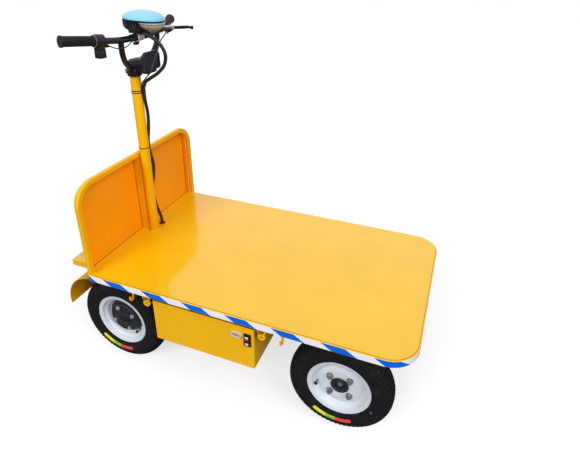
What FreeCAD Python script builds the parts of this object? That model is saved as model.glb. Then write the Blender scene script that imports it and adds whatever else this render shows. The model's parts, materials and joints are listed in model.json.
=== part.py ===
import FreeCAD, Part
import math
import os

# Electric platform truck: a flat load deck on four pneumatic wheels, with a headboard, a
# handlebar column that steers the handle-end axle, hub motors in the steered wheels, and a
# battery box slung under the deck. Millimetres. +X runs to the rounded free end of the deck,
# +Y to the left, +Z up, and the wheels stand on z = 0. Lengths along X are first counted from
# the headboard face of the deck, and shift() then centres the model on X.

V = FreeCAD.Vector
os.makedirs("parts", exist_ok=True)

# ---- overall ----
deck_length = 1200.0          # load deck, from the headboard to the free end
deck_width = 740.0
tyre_radius = 189.0
wheel_headroom = 64.0         # tyre crown to the underside of the deck frame
rail_height = 26.0            # deck frame rail
rail_width = 40.0
rail_corner = 100.0           # outer radius of the two free-end corners
sheet_thickness = 2.0
sheet_inset = 6.0             # deck sheet edge, in from the rail's outer edge
headboard_height = 364.0      # above the deck frame
headboard_depth = 18.0
headboard_tube = 20.0         # tube face across Y
headboard_corner = 90.0       # outer radius
headboard_overhang = 4.0      # headboard back face, behind the deck datum
panel_thickness = 2.0
panel_depth = 18.0            # back of the panel's tray, behind the headboard tube

# ---- underframe ----
bearer_offset = 110.0         # centre of each long bearer from the middle
bearer_width = 40.0
cross_width = 60.0

# ---- wheels ----
front_axle_inset = 244.0      # front wheel axis, in from the free end
tyre_width = 94.0
track_half = 244.0            # middle plane of each wheel from the centre line
rim_half_width = 38.0
rim_flange_radius = 115.0
rim_seat_radius = 101.0
rim_well_radius = 88.0
rim_thickness = 3.0
stub_radius = 12.0
running_gap = 0.05            # radial, at pins and shafts
motor_radius = 77.0
hub_radius = 30.0

# ---- axles and steering ----
beam_width = 40.0
beam_height = 36.0
post_width = 40.0
kingpin_offset = 175.0        # kingpin from the centre line
kingpin_radius = 8.0
boss_radius = 17.0
boss_half_height = 39.0       # knuckle boss, above and below the wheel axis
fork_gap = 10.0               # between the boss and the fork's web
fork_web = 12.0
fork_web_half = 12.0          # half of the web along X
arm_rise = 34.0               # top of the steering arms above the wheel axis
lug_thickness = 10.0
lug_gap = 0.5                 # axial, between the boss and each lug
steer_arm = 70.0              # pitman arm and both knuckle arms
arm_thickness = 10.0
arm_width = 24.0
rod_radius = 8.0
eye_radius = 13.0
ball_pin_radius = 6.0

# ---- column and handlebar ----
column_radius = 20.0
column_wall = 2.5
column_height = 674.0         # column tube above the deck sheet
column_gap = 0.3              # column tube to the headboard's top rail
shaft_radius = 12.0
weld_gap = 0.5                # deck sheet to what stands in its cut-outs
stiffener_width = 25.0
collar_radius = 27.0
collar_height = 28.0
collar_gap = 1.0
bar_radius = 11.0
bar_forward = 43.0            # bar centre, in front of the column axis
bar_height = 822.0            # bar centre, above the deck frame
bar_half = 105.0              # half of the straight middle of the bar
grip_half = 305.0             # grip end from the centre line
grip_sweep = 70.0             # grip end, behind the bar's middle
grip_rise = 23.0
grip_length = 113.0
grip_radius = 16.0
sleeve_gap = 0.1              # radial, between the bar and what is clamped on it

# ---- battery box ----
box_start = 260.0             # end nearer the headboard
box_front_gap = 100.0         # battery box to the front tyres
box_inset = 22.0              # side face, in from the deck's outer edge
box_height = 208.0
box_wall = 3.0
battery_end_gap = 30.5        # battery to each end wall
battery_half_width = 190.0
battery_height = 165.0

# ---- mudguards and rear step ----
mudguard_outer = 305.0        # outer edge from the centre line
mudguard_width = 150.0
mudguard_radius = 135.0       # bend of the sheet behind the wheel
mudguard_behind = 44.0        # outer face of the bend, behind the tyre
mudguard_over = 28.0          # outer face of the sloping part, outside the tyre
mudguard_end_angle = 190.0    # degrees round that centre, from the front horizontal
mudguard_slope = 14.0         # degrees, of the flat part over the wheel
mudguard_sheet = 2.0
step_depth = 130.0
step_half_width = 312.0
step_thickness = 26.0

# ---- cables ----
loom_radius = 6.5
brake_cable_radius = 2.5
wire_radius = 2.0

# ---- heights and places that follow ----
axle_z = tyre_radius
frame_bottom = axle_z + tyre_radius + wheel_headroom
frame_top = frame_bottom + rail_height
deck_top = frame_top + sheet_thickness
headboard_back = -headboard_overhang
headboard_front = headboard_back + headboard_depth
headboard_top = frame_top + headboard_height
panel_back = headboard_back - panel_depth
panel_front = panel_back + panel_thickness
column_x = headboard_front + column_gap + column_radius
column_top = deck_top + column_height
rear_axle_x = column_x
front_axle_x = deck_length - front_axle_inset
box_end = front_axle_x - tyre_radius - box_front_gap
box_half_width = deck_width / 2 - box_inset
model_back = rear_axle_x - tyre_radius - mudguard_behind
middle_x = (deck_length + model_back) / 2
bar_x = column_x + bar_forward
bar_z = frame_top + bar_height


def shift(shape):
    """Centre the finished shape on X."""
    shape.translate(V(-middle_x, 0, 0))
    return shape


def save(node, shape):
    if not shape.isValid():
        print("INVALID", node)
    shift(shape.copy()).exportStep("parts/" + node + ".step")
    print(node, "solids", len(shape.Solids), "volume", round(shape.Volume / 1000, 1), "cm3")


def box(x0, x1, y0, y1, z0, z1):
    return Part.makeBox(x1 - x0, y1 - y0, z1 - z0, V(x0, y0, z0))


def rod(start, end, radius):
    """Round bar between two points."""
    line = V(*end) - V(*start)
    return Part.makeCylinder(radius, line.Length, V(*start), line)


def ring(outer, inner, z0, z1, x, y=0.0):
    body = rod((x, y, z0), (x, y, z1), outer)
    return body.cut(rod((x, y, z0 - 1), (x, y, z1 + 1), inner))


def fuse(shapes):
    result = shapes[0]
    for shape in shapes[1:]:
        result = result.fuse(shape)
    return result.removeSplitter()


def mirror_y(shape):
    return shape.mirror(V(0, 0, 0), V(0, 1, 0))


def both_sides(shape):
    return Part.Compound([shape, mirror_y(shape)])


def route(points, radius, ratio=0.45, report=None):
    """Tube along straight runs that tangent arcs join; each arc fills ratio of its shorter run."""
    pts = [V(*p) for p in points]
    edges = []
    start = pts[0]
    radii = []
    for i in range(1, len(pts) - 1):
        before = pts[i] - pts[i - 1]
        after = pts[i + 1] - pts[i]
        turn = before.getAngle(after)
        reach = ratio * min(before.Length, after.Length)
        bend = reach / math.tan(turn / 2)
        radii.append(round(bend, 1))
        before.normalize()
        after.normalize()
        arc_start = pts[i] - before * reach
        arc_end = pts[i] + after * reach
        inward = (after - before).normalize()
        centre_to_point = bend / math.cos(turn / 2)
        arc_middle = pts[i] + inward * (centre_to_point - bend)
        edges.append(Part.LineSegment(start, arc_start).toShape())
        edges.append(Part.Arc(arc_start, arc_middle, arc_end).toShape())
        start = arc_end
    edges.append(Part.LineSegment(start, pts[-1]).toShape())
    path = Part.Wire(edges)
    first = pts[1] - pts[0]
    section = Part.Wire(Part.makeCircle(radius, pts[0], first))
    tube = path.makePipeShell([section], True, False)
    if report:
        drift = tube.Volume / (math.pi * radius ** 2 * path.Length) - 1
        print(report, "length", round(path.Length, 1), "radii", radii, "volume error", round(drift, 5))
    return tube


def turned(points, x, y, side):
    """Ring turned about a wheel axis along Y. Points are (offset outward, radius) or an arc's
    middle point marked by a third value."""
    def place(a, r):
        return V(x, y + side * a, axle_z + r)

    edges = []
    count = len(points)
    i = 0
    while i < count:
        here = place(*points[i][:2])
        after = points[(i + 1) % count]
        if len(after) == 3:
            far = points[(i + 2) % count]
            edges.append(Part.Arc(here, place(*after[:2]), place(*far[:2])).toShape())
            i += 2
        else:
            edges.append(Part.LineSegment(here, place(*after[:2])).toShape())
            i += 1
    face = Part.Face(Part.Wire(edges))
    return face.revolve(V(x, y, axle_z), V(0, 1, 0), 360)


# ---------------------------------------------------------------- deck
def deck_outline(inset, z, back):
    """Rounded-end outline of the deck, moved in by inset, as a face at height z."""
    x1 = deck_length - inset
    y1 = deck_width / 2 - inset
    corner = rail_corner - inset
    diagonal = corner * (1 - math.sqrt(0.5))
    a = V(back, -y1, z)
    b = V(x1 - corner, -y1, z)
    c = V(x1, -y1 + corner, z)
    d = V(x1, y1 - corner, z)
    e = V(x1 - corner, y1, z)
    f = V(back, y1, z)
    low = V(x1 - diagonal, -y1 + diagonal, z)
    high = V(x1 - diagonal, y1 - diagonal, z)
    edges = [Part.LineSegment(a, b), Part.Arc(b, low, c), Part.LineSegment(c, d),
             Part.Arc(d, high, e), Part.LineSegment(e, f), Part.LineSegment(f, a)]
    return Part.Face(Part.Wire([edge.toShape() for edge in edges]))


shaft_hole_radius = shaft_radius + 3
grommet_x = column_x + 3
grommet_y = 54.0
grommet_hole_radius = 9.0
grommet_flange_radius = 13.0
grommet_fit = 0.1             # radial, neck in its hole
grommet_flange_height = 3.0
shaft_hole = rod((column_x, 0, 0), (column_x, 0, deck_top + 1), shaft_hole_radius)
cable_hole = rod((grommet_x, grommet_y, frame_bottom - 1), (grommet_x, grommet_y, deck_top + 1),
                 grommet_hole_radius)


def deck_frame():
    outer = deck_outline(0, frame_bottom, headboard_back).extrude(V(0, 0, rail_height))
    inner = deck_outline(rail_width, frame_bottom, headboard_back + rail_width).extrude(V(0, 0, rail_height))
    return outer.cut(inner).cut(shaft_hole).cut(cable_hole)


def deck_sheet():
    """Sheet with cut-outs for the headboard posts, stiffener, column and grommet."""
    sheet = deck_outline(sheet_inset, frame_top, headboard_back)
    sheet = sheet.extrude(V(0, 0, sheet_thickness))
    post_inner = deck_width / 2 - headboard_tube - weld_gap
    half_stiffener = stiffener_width / 2 + weld_gap
    back = headboard_back - 1
    front = headboard_front + weld_gap
    cuts = [box(back, front, post_inner, deck_width, frame_top, deck_top),
            box(back, front, -deck_width, -post_inner, frame_top, deck_top),
            box(back, front, -half_stiffener, half_stiffener, frame_top, deck_top),
            rod((column_x, 0, frame_top), (column_x, 0, deck_top), column_radius + weld_gap),
            rod((grommet_x, grommet_y, frame_top), (grommet_x, grommet_y, deck_top),
                grommet_flange_radius + weld_gap)]
    for cut in cuts:
        sheet = sheet.cut(cut)
    return sheet


frame_inner_back = headboard_back + rail_width
frame_inner_front = deck_length - rail_width
cross_starts = [frame_inner_back, box_start, box_end - cross_width,
                front_axle_x - cross_width / 2]


def bearers():
    y0 = bearer_offset - bearer_width / 2
    bearer = box(frame_inner_back + cross_width, frame_inner_front, y0, y0 + bearer_width,
                 frame_bottom, frame_top)
    return both_sides(bearer)


def cross_members():
    """Full-width piece behind the bearers, then short pieces between rails and bearers."""
    inner_y = deck_width / 2 - rail_width
    pieces = [box(cross_starts[0], cross_starts[0] + cross_width, -inner_y, inner_y,
                  frame_bottom, frame_top).cut(shaft_hole).cut(cable_hole)]
    low = bearer_offset - bearer_width / 2
    high = bearer_offset + bearer_width / 2
    for start in cross_starts[1:]:
        for y0, y1 in ((-inner_y, -high), (-low, low), (high, inner_y)):
            pieces.append(box(start, start + cross_width, y0, y1, frame_bottom, frame_top))
    return Part.Compound(pieces)


# ---------------------------------------------------------------- headboard
def headboard_outline(inset, x, foot=frame_top):
    """Arch of the headboard, moved in by inset, as a face at x that stands on the height foot."""
    half = deck_width / 2 - inset
    top = headboard_top - inset
    corner = headboard_corner - inset
    diagonal = corner * (1 - math.sqrt(0.5))
    a = V(x, -half, foot)
    b = V(x, -half, top - corner)
    c = V(x, -half + corner, top)
    d = V(x, half - corner, top)
    e = V(x, half, top - corner)
    f = V(x, half, foot)
    left = V(x, -half + diagonal, top - diagonal)
    right = V(x, half - diagonal, top - diagonal)
    edges = [Part.LineSegment(a, b), Part.Arc(b, left, c), Part.LineSegment(c, d),
             Part.Arc(d, right, e), Part.LineSegment(e, f), Part.LineSegment(f, a)]
    return Part.Face(Part.Wire([edge.toShape() for edge in edges]))


def headboard_frame():
    outer = headboard_outline(0, headboard_back).extrude(V(headboard_depth, 0, 0))
    inner = headboard_outline(headboard_tube, headboard_back).extrude(V(headboard_depth, 0, 0))
    return outer.cut(inner)


def headboard_panel():
    """Sheet tray whose folded edges meet the back of the headboard tube and of the deck frame."""
    outer = headboard_outline(headboard_tube - panel_thickness, panel_back, frame_top - panel_thickness)
    inner = headboard_outline(headboard_tube, panel_front)
    depth = headboard_back - panel_back
    return outer.extrude(V(depth, 0, 0)).cut(inner.extrude(V(depth, 0, 0)))


def headboard_stiffener():
    return box(panel_front, headboard_front, -stiffener_width / 2, stiffener_width / 2,
               frame_top, headboard_top - headboard_tube)


def rear_step():
    """Shelf behind the headboard, with a shallow seat for the folded foot of the panel."""
    shelf = box(headboard_back - step_depth, headboard_back, -step_half_width, step_half_width,
                frame_top - step_thickness, frame_top)
    seat = box(panel_back - weld_gap, headboard_back, -step_half_width, step_half_width,
               frame_top - panel_thickness, frame_top)
    return shelf.cut(seat)


# ---------------------------------------------------------------- column
bushing_height = 30.0


def steering_column():
    return ring(column_radius, column_radius - column_wall, frame_top, column_top, column_x)


def column_bushings():
    """Plain bearings at the foot and the top of the column tube."""
    outer = column_radius - column_wall
    inner = shaft_radius + running_gap
    return Part.Compound([ring(outer, inner, frame_top, frame_top + bushing_height, column_x),
                          ring(outer, inner, column_top - bushing_height, column_top, column_x)])


shaft_bottom = axle_z + 2
collar_bottom = column_top + collar_gap
collar_top = collar_bottom + collar_height


def steering_shaft():
    return rod((column_x, 0, shaft_bottom), (column_x, 0, collar_top - 4), shaft_radius)


# ---------------------------------------------------------------- axles
beam_top = axle_z + beam_height / 2
arm_top = axle_z + arm_rise
boss_top = axle_z + boss_half_height
arm_bottom = arm_top - arm_thickness


def rear_axle_beam():
    """Beam with a fork at each end that holds a kingpin, and a blind bore for the shaft's foot."""
    beam_end = kingpin_offset - boss_radius - fork_gap
    beam = box(rear_axle_x - beam_width / 2, rear_axle_x + beam_width / 2, -beam_end, beam_end,
               axle_z - beam_height / 2, beam_top)
    beam = beam.cut(rod((rear_axle_x, 0, shaft_bottom - 2), (rear_axle_x, 0, beam_top + 1),
                        shaft_radius + running_gap))
    parts = [beam]
    lug_low = boss_top + lug_gap
    fork_top = lug_low + lug_thickness
    fork_foot = 2 * axle_z - fork_top
    for side in (-1, 1):
        y = side * kingpin_offset
        web_inner = side * (beam_end - fork_web)
        web_outer = side * beam_end
        parts.append(box(rear_axle_x - fork_web_half, rear_axle_x + fork_web_half,
                         min(web_inner, web_outer), max(web_inner, web_outer), fork_foot, fork_top))
        for z0 in (lug_low, fork_foot):
            lug = rod((rear_axle_x, y, z0), (rear_axle_x, y, z0 + lug_thickness), boss_radius)
            plate = box(rear_axle_x - fork_web_half, rear_axle_x + fork_web_half,
                        min(y, web_inner), max(y, web_inner), z0, z0 + lug_thickness)
            parts += [lug, plate]
        parts.append(rod((rear_axle_x, y, fork_foot), (rear_axle_x, y, fork_top), kingpin_radius))
    return fuse(parts)


def front_axle_beam():
    """Fixed beam whose ends are turned down to stub axles."""
    beam_end = track_half - rim_half_width - 26
    beam = box(front_axle_x - beam_width / 2, front_axle_x + beam_width / 2, -beam_end, beam_end,
               axle_z - beam_height / 2, beam_top)
    stub_end = track_half + 8
    stubs = rod((front_axle_x, -stub_end, axle_z), (front_axle_x, stub_end, axle_z), stub_radius)
    return fuse([beam, stubs])


def hangers(axle_x, direction):
    """Two posts from the beam up to the bearers, each with a slanting brace along X."""
    y0 = bearer_offset - post_width / 2
    post = box(axle_x - post_width / 2, axle_x + post_width / 2, y0, y0 + post_width,
               beam_top, frame_bottom)
    brace_half = 12.0
    brace_thickness = 16.0
    brace_run = 130.0
    foot = axle_x + direction * post_width / 2
    low = V(foot, bearer_offset - brace_half, beam_top + 15)
    high = V(foot + direction * brace_run, bearer_offset - brace_half, frame_bottom)
    upper_edge = high - V(direction * brace_thickness * 1.6, 0, 0)
    lower_edge = low + V(0, 0, brace_thickness * 2)
    corners = [low, high, upper_edge, lower_edge]
    face = Part.Face(Part.makePolygon(corners + [corners[0]]))
    brace = face.extrude(V(0, 2 * brace_half, 0))
    return both_sides(post.fuse(brace)).Solids


def axle_hangers():
    return Part.Compound(hangers(rear_axle_x, 1) + hangers(front_axle_x, -1))


def knuckle(side):
    """Boss on the kingpin, stub axle outward and steering arm to the back."""
    y = side * kingpin_offset
    boss = rod((rear_axle_x, y, axle_z - boss_half_height), (rear_axle_x, y, boss_top), boss_radius)
    stub = rod((rear_axle_x, y, axle_z), (rear_axle_x, side * (track_half + 20), axle_z), stub_radius)
    arm_x = rear_axle_x - steer_arm
    arm = box(arm_x, rear_axle_x, y - arm_width / 2, y + arm_width / 2, arm_bottom, arm_top)
    end = rod((arm_x, y, arm_bottom), (arm_x, y, arm_top), arm_width / 2)
    pin = rod((arm_x, y, arm_bottom), (arm_x, y, pin_top), ball_pin_radius)
    body = fuse([boss, stub, arm, end, pin])
    bore = rod((rear_axle_x, y, axle_z - boss_half_height - 1), (rear_axle_x, y, boss_top + 1),
               kingpin_radius + running_gap)
    return body.cut(bore)


eye_gap = 1.0
eye_bottom = arm_top + eye_gap
eye_height = 2 * rod_radius + 2
pin_top = eye_bottom + eye_height + 2


def pitman_arm():
    """Arm clamped on the shaft, of the knuckle arms' length, with the middle ball pin."""
    arm_x = column_x - steer_arm
    hub = rod((column_x, 0, arm_bottom), (column_x, 0, arm_top + 12), shaft_radius + 8)
    arm = box(arm_x, column_x, -arm_width / 2, arm_width / 2, arm_bottom, arm_top)
    end = rod((arm_x, 0, arm_bottom), (arm_x, 0, arm_top), arm_width / 2)
    pin = rod((arm_x, 0, arm_bottom), (arm_x, 0, pin_top), ball_pin_radius)
    body = fuse([hub, arm, end, pin])
    return body.cut(rod((column_x, 0, arm_bottom - 1), (column_x, 0, arm_top + 20), shaft_radius))


def tie_rod():
    """One straight rod over the three arms, with an eye at each."""
    x = rear_axle_x - steer_arm
    z = eye_bottom + eye_height / 2
    places = [-kingpin_offset, 0.0, kingpin_offset]
    parts = [rod((x, places[0], z), (x, places[2], z), rod_radius)]
    for y in places:
        parts.append(rod((x, y, eye_bottom), (x, y, eye_bottom + eye_height), eye_radius))
    body = fuse(parts)
    for y in places:
        body = body.cut(rod((x, y, eye_bottom - 1), (x, y, pin_top), ball_pin_radius + running_gap))
    return body


# ---------------------------------------------------------------- wheels
bead_gap = 0.4
tyre_wall = 8.0


def tyre(x, side):
    """Carcass of the tyre, open at the rim."""
    seat = rim_seat_radius + 0.3
    inside_flange = rim_half_width - rim_thickness - bead_gap
    half = tyre_width / 2
    widest = (rim_flange_radius + tyre_radius) / 2 - 2
    shoulder = (half - 10, tyre_radius - 13)
    inner_side = half - tyre_wall
    inner_crown = tyre_radius - tyre_wall - 3
    foot = inside_flange - 7
    right = [(foot, seat), (inside_flange, seat), (inside_flange, rim_flange_radius + 0.6),
             (half - 5, rim_flange_radius + 12, 1), (half, widest),
             (half - 3, tyre_radius - 24, 1), shoulder, (half / 2, tyre_radius - 3.5, 1), (0, tyre_radius)]
    left = [(-half / 2, tyre_radius - 3.5, 1), (-shoulder[0], shoulder[1]),
            (-half + 3, tyre_radius - 24, 1), (-half, widest),
            (-half + 5, rim_flange_radius + 12, 1), (-inside_flange, rim_flange_radius + 0.6),
            (-inside_flange, seat), (-foot, seat)]
    cavity = [(-inner_side, widest), (-half / 2 - 6, inner_crown - 6), (half / 2 + 6, inner_crown - 6),
              (inner_side, widest)]
    return turned(right + left + cavity, x, side * track_half, side)


def rim(x, side, disc):
    """Pressed rim with a drop centre; disc is the outline of the wheel disc inside the well."""
    edge = rim_flange_radius
    well = rim_well_radius
    inner_well = well - rim_thickness
    half = rim_half_width
    outer = [(half, edge), (half - rim_thickness, edge), (half - rim_thickness, rim_seat_radius),
             (24, rim_seat_radius - 1), (16, well), (-16, well), (-24, rim_seat_radius - 1),
             (-half + rim_thickness, rim_seat_radius), (-half + rim_thickness, edge), (-half, edge)]
    inner = [(-half, rim_seat_radius - rim_thickness), (-26, rim_seat_radius - rim_thickness - 1),
             (-18, inner_well), (18, inner_well), (26, rim_seat_radius - rim_thickness - 1),
             (half, rim_seat_radius - rim_thickness)]
    barrel = turned(outer + inner, x, side * track_half, side)
    return barrel.fuse(turned(disc, x, side * track_half, side)).removeSplitter()


inner_well_radius = rim_well_radius - rim_thickness
front_disc = [(18, inner_well_radius), (18, 70), (21, 67), (21, hub_radius), (17, hub_radius),
              (17, 67), (14, 70), (14, inner_well_radius)]
rear_disc = [(6, inner_well_radius), (6, motor_radius), (-16, motor_radius), (-16, inner_well_radius)]
motor_inner = -34.0
motor_step = 62.0


def hub_motor(side):
    """Motor drum inside the rim, with a raised cover outside."""
    bore = stub_radius + running_gap
    cap = 20.0
    outline = [(motor_inner, bore), (motor_inner, motor_radius - 12), (motor_inner + 12, motor_radius),
               (8, motor_radius), (12, motor_radius - 3), (12, motor_step + 3), (24, motor_step),
               (24, cap), (30, cap), (30, 3), (22, 3), (22, bore)]
    return turned(outline, rear_axle_x, side * track_half, side)


def front_hub(side):
    """Hub with a flange behind the wheel disc and a closed nose in the disc's hole."""
    bore = stub_radius + running_gap
    flange_radius = 62.0
    nose = 16.0
    back = -46.0
    outline = [(back, bore), (back, hub_radius - 2), (8, hub_radius - 2), (8, flange_radius),
               (17, flange_radius), (17, hub_radius), (nose + 2, hub_radius - 2), (nose, hub_radius - 6),
               (nose, 3), (10, 3), (10, bore)]
    return turned(outline, front_axle_x, side * track_half, side)


# ---------------------------------------------------------------- battery box and small iron
socket_inset = 67.0           # middle of the charge socket, in from the box's front end
switch_inset = 24.0
lug_offset = 28.0             # middle of each lug, past the box's end
hook_offset_back = 85.0       # each pair of hooks, past the box's end
hook_offset_front = 104.0


def battery_box():
    outer = box(box_start, box_end, -box_half_width, box_half_width,
                frame_bottom - box_height, frame_bottom)
    inner = box(box_start + box_wall, box_end - box_wall,
                -box_half_width + box_wall, box_half_width - box_wall,
                frame_bottom - box_height + box_wall, frame_bottom - box_wall)
    return outer.cut(inner)


def battery_pack():
    side_gap = box_wall + battery_end_gap
    z0 = frame_bottom - box_height + box_wall
    return box(box_start + side_gap, box_end - side_gap, -battery_half_width, battery_half_width,
               z0, z0 + battery_height)


def charge_socket():
    """Long round-ended socket plate near the front of the box's right face."""
    x = box_end - socket_inset
    z = frame_top - 96
    half_run = 9.0
    radius = 11.0
    depth = 5.0
    y = -box_half_width
    plate = fuse([rod((x - half_run, y, z), (x - half_run, y - depth, z), radius),
                  rod((x + half_run, y, z), (x + half_run, y - depth, z), radius),
                  box(x - half_run, x + half_run, y - depth, y, z - radius, z + radius)])
    return plate


def box_switch():
    """Two rockers in one upright frame."""
    x = box_end - switch_inset
    z = frame_top - 107
    frame = box(x - 13, x + 13, -box_half_width - 5, -box_half_width, z - 26, z + 26)
    rockers = [box(x - 9, x + 9, -box_half_width - 9, -box_half_width - 5, z + low, z + low + 20)
               for low in (-22, 2)]
    return fuse([frame] + rockers)


lug_x = [box_start - lug_offset, box_end + lug_offset]
hook_x = [box_start - hook_offset_back, box_end + hook_offset_front]
hook_radius = 4.0
hook_drop = 34.0
hook_mouth = 19.0             # from the shank to the tip, centre to centre
hook_y = deck_width / 2 - hook_mouth - hook_radius - 1


def box_lugs():
    """Round-ended lugs welded under the side rails beside the box ends."""
    lugs = []
    width = 34.0
    drop = 42.0
    thickness = 8.0
    for x in lug_x:
        for side in (-1, 1):
            y0 = side * (box_half_width - thickness / 2)
            plate = box(x - width / 2, x + width / 2, y0 - thickness / 2, y0 + thickness / 2,
                        frame_bottom - drop + width / 2, frame_bottom)
            end = rod((x, y0 - thickness / 2, frame_bottom - drop + width / 2),
                      (x, y0 + thickness / 2, frame_bottom - drop + width / 2), width / 2)
            lugs.append(fuse([plate, end]))
    return Part.Compound(lugs)


def rope_hooks():
    """J-shaped hooks of round bar under the side rails, with the mouth towards the outside."""
    hooks = []
    for x in hook_x:
        for side in (-1, 1):
            y = side * hook_y
            low = frame_bottom - hook_drop
            points = [(x, y, frame_bottom), (x, y, low),
                      (x, y + side * hook_mouth * 0.3, low - hook_mouth * 0.7),
                      (x, y + side * hook_mouth * 0.9, low - hook_mouth * 0.5),
                      (x, y + side * hook_mouth, low + hook_mouth * 0.3)]
            hooks.append(route(points, hook_radius))
    return Part.Compound(hooks)


def mudguards():
    """Bent sheets over and behind the steered wheels, hung from the first cross member."""
    slope = math.radians(mudguard_slope)
    back = tyre_radius + mudguard_behind - mudguard_radius
    up = (tyre_radius + mudguard_over - mudguard_radius - back * math.sin(slope)) / math.cos(slope)
    centre = V(rear_axle_x - back, mudguard_outer - mudguard_width, axle_z + up)
    front = cross_starts[0] + cross_width / 2
    end = math.radians(mudguard_end_angle)
    start = math.radians(90) + slope
    rise = math.tan(slope)

    def at(radius, angle):
        return centre + V(radius * math.cos(angle), 0, radius * math.sin(angle))

    def arc(radius, first, last):
        return Part.Arc(at(radius, first), at(radius, (first + last) / 2), at(radius, last))

    def above(point, x):
        return V(x, point.y, point.z + (x - point.x) * rise)

    inner = mudguard_radius - mudguard_sheet
    top_corner = above(at(mudguard_radius, start), front - mudguard_sheet)
    low_corner = above(at(inner, start), front)
    hanger_back = V(front - mudguard_sheet, centre.y, frame_bottom)
    hanger_front = V(front, centre.y, frame_bottom)
    edges = [arc(mudguard_radius, end, start),
             Part.LineSegment(at(mudguard_radius, start), top_corner),
             Part.LineSegment(top_corner, hanger_back),
             Part.LineSegment(hanger_back, hanger_front),
             Part.LineSegment(hanger_front, low_corner),
             Part.LineSegment(low_corner, at(inner, start)),
             arc(inner, start, end),
             Part.LineSegment(at(inner, end), at(mudguard_radius, end))]
    face = Part.Face(Part.Wire([edge.toShape() for edge in edges]))
    return both_sides(face.extrude(V(0, mudguard_width, 0)))


# ---------------------------------------------------------------- handlebar group
horn_back_x = column_x - 6    # horn body over the collar, then a flare to its mouth
horn_neck_x = column_x + 42
horn_front_x = column_x + 84
horn_bottom = frame_top + 715
horn_mouth_low = frame_top + 707
horn_mouth_high = frame_top + 772
horn_post_radius = 9.0


def stem_collar():
    """Clamp collar on the shaft's top, with pinch ears at the back and the horn's post on top."""
    body = rod((column_x, 0, collar_bottom), (column_x, 0, collar_top), collar_radius)
    ears = box(column_x - collar_radius - 8, column_x, -8, 8, collar_bottom + 5, collar_top - 5)
    post_x = column_x + 14
    post = rod((post_x, 0, collar_top - 2), (post_x, 0, horn_bottom), horn_post_radius)
    body = fuse([body, ears, post])
    return body.cut(rod((column_x, 0, collar_bottom - 1), (column_x, 0, collar_top - 4), shaft_radius))


riser_radius = 10.0
riser_foot_y = 14.0
riser_knee_drop = 62.0
riser_knee_back = 4.0
riser_bend_share = 0.8


def riser(side):
    """Tube from the collar, slanting out and then up to the bar in one wide bend."""
    path = [(column_x, side * riser_foot_y, collar_top - 8),
            (bar_x - riser_knee_back, side * bar_half, bar_z - riser_knee_drop),
            (bar_x, side * bar_half, bar_z)]
    tube = route(path, riser_radius, riser_bend_share)
    collar = rod((column_x, 0, collar_bottom), (column_x, 0, collar_top), collar_radius)
    return tube.cut(handlebar()).cut(collar)


def grip_point(along, side):
    """Point on the swept part of the bar, at a distance from the bend."""
    run = V(-grip_sweep, side * (grip_half - bar_half), grip_rise)
    total = run.Length
    return V(bar_x, side * bar_half, bar_z) + run * (along / total)


sweep_length = math.sqrt(grip_sweep ** 2 + (grip_half - bar_half) ** 2 + grip_rise ** 2)


def handlebar():
    end = sweep_length - 2
    points = [tuple(grip_point(end, -1)), (bar_x, -bar_half, bar_z), (bar_x, bar_half, bar_z),
              tuple(grip_point(end, 1))]
    return route(points, bar_radius, 0.2)


def sleeve(side, start, end, outer, bore=bar_radius + sleeve_gap):
    """Sleeve on the swept part of the bar between two distances from its bend."""
    a = grip_point(start, side)
    b = grip_point(end, side)
    body = rod(tuple(a), tuple(b), outer)
    return body.cut(rod(tuple(grip_point(start - 1, side)), tuple(grip_point(end - 2, side)), bore))


grip_start = sweep_length - grip_length


def grips():
    return Part.Compound([sleeve(side, grip_start, sweep_length, grip_radius) for side in (-1, 1)])


throttle_length = 34.0
throttle_radius = 22.0
throttle_start = grip_start - throttle_length - 1


def throttle():
    """Twist throttle collar inboard of the right grip, with the wire's nub on its inner end."""
    a = grip_point(throttle_start, -1)
    b = grip_point(throttle_start + throttle_length, -1)
    body = rod(tuple(a), tuple(b), throttle_radius)
    low = a.z - throttle_radius
    nub = rod((a.x + 2, a.y - 2, low + 7), (a.x + 8, a.y + 16, low + 3), 5.0)
    bore = rod(tuple(grip_point(throttle_start - 5, -1)),
               tuple(grip_point(throttle_start + throttle_length + 5, -1)), bar_radius + sleeve_gap)
    return fuse([body, nub]).cut(bore)


def switch_block():
    """Square switch housing clamped under the throttle."""
    centre = grip_point(throttle_start + throttle_length / 2, -1)
    top = centre.z - throttle_radius + 4
    body = box(centre.x - 11, centre.x + 11, centre.y - 12, centre.y + 12, top - 38, top)
    return body.cut(rod(tuple(grip_point(throttle_start - 20, -1)), tuple(grip_point(grip_start + 20, -1)),
                        throttle_radius + sleeve_gap))


perch_centre = grip_point(64, 1)
perch_arm_end = V(perch_centre.x + 58, perch_centre.y + 2, perch_centre.z + 2)


def brake_perch():
    """Lever mount clamped on the bar inboard of the left grip, with its body reaching forward."""
    clamp = rod(tuple(grip_point(52, 1)), tuple(grip_point(76, 1)), bar_radius + 5)
    arm = rod(tuple(perch_centre), tuple(perch_arm_end), 8.0)
    bore = rod(tuple(grip_point(30, 1)), tuple(grip_point(120, 1)), bar_radius + sleeve_gap)
    return fuse([clamp, arm]).cut(bore)


def brake_lever():
    """Lever from the perch, forward and then outward, with a round end."""
    tip = perch_arm_end + V(33, 76, -6)
    points = [perch_arm_end, perch_arm_end + V(20, 6, 0), perch_arm_end + V(31, 38, -2), tip]
    blade = route([tuple(point) for point in points], 5.0)
    knob = Part.makeSphere(7.0, tip)
    return fuse([blade, knob]).cut(brake_perch())


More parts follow.
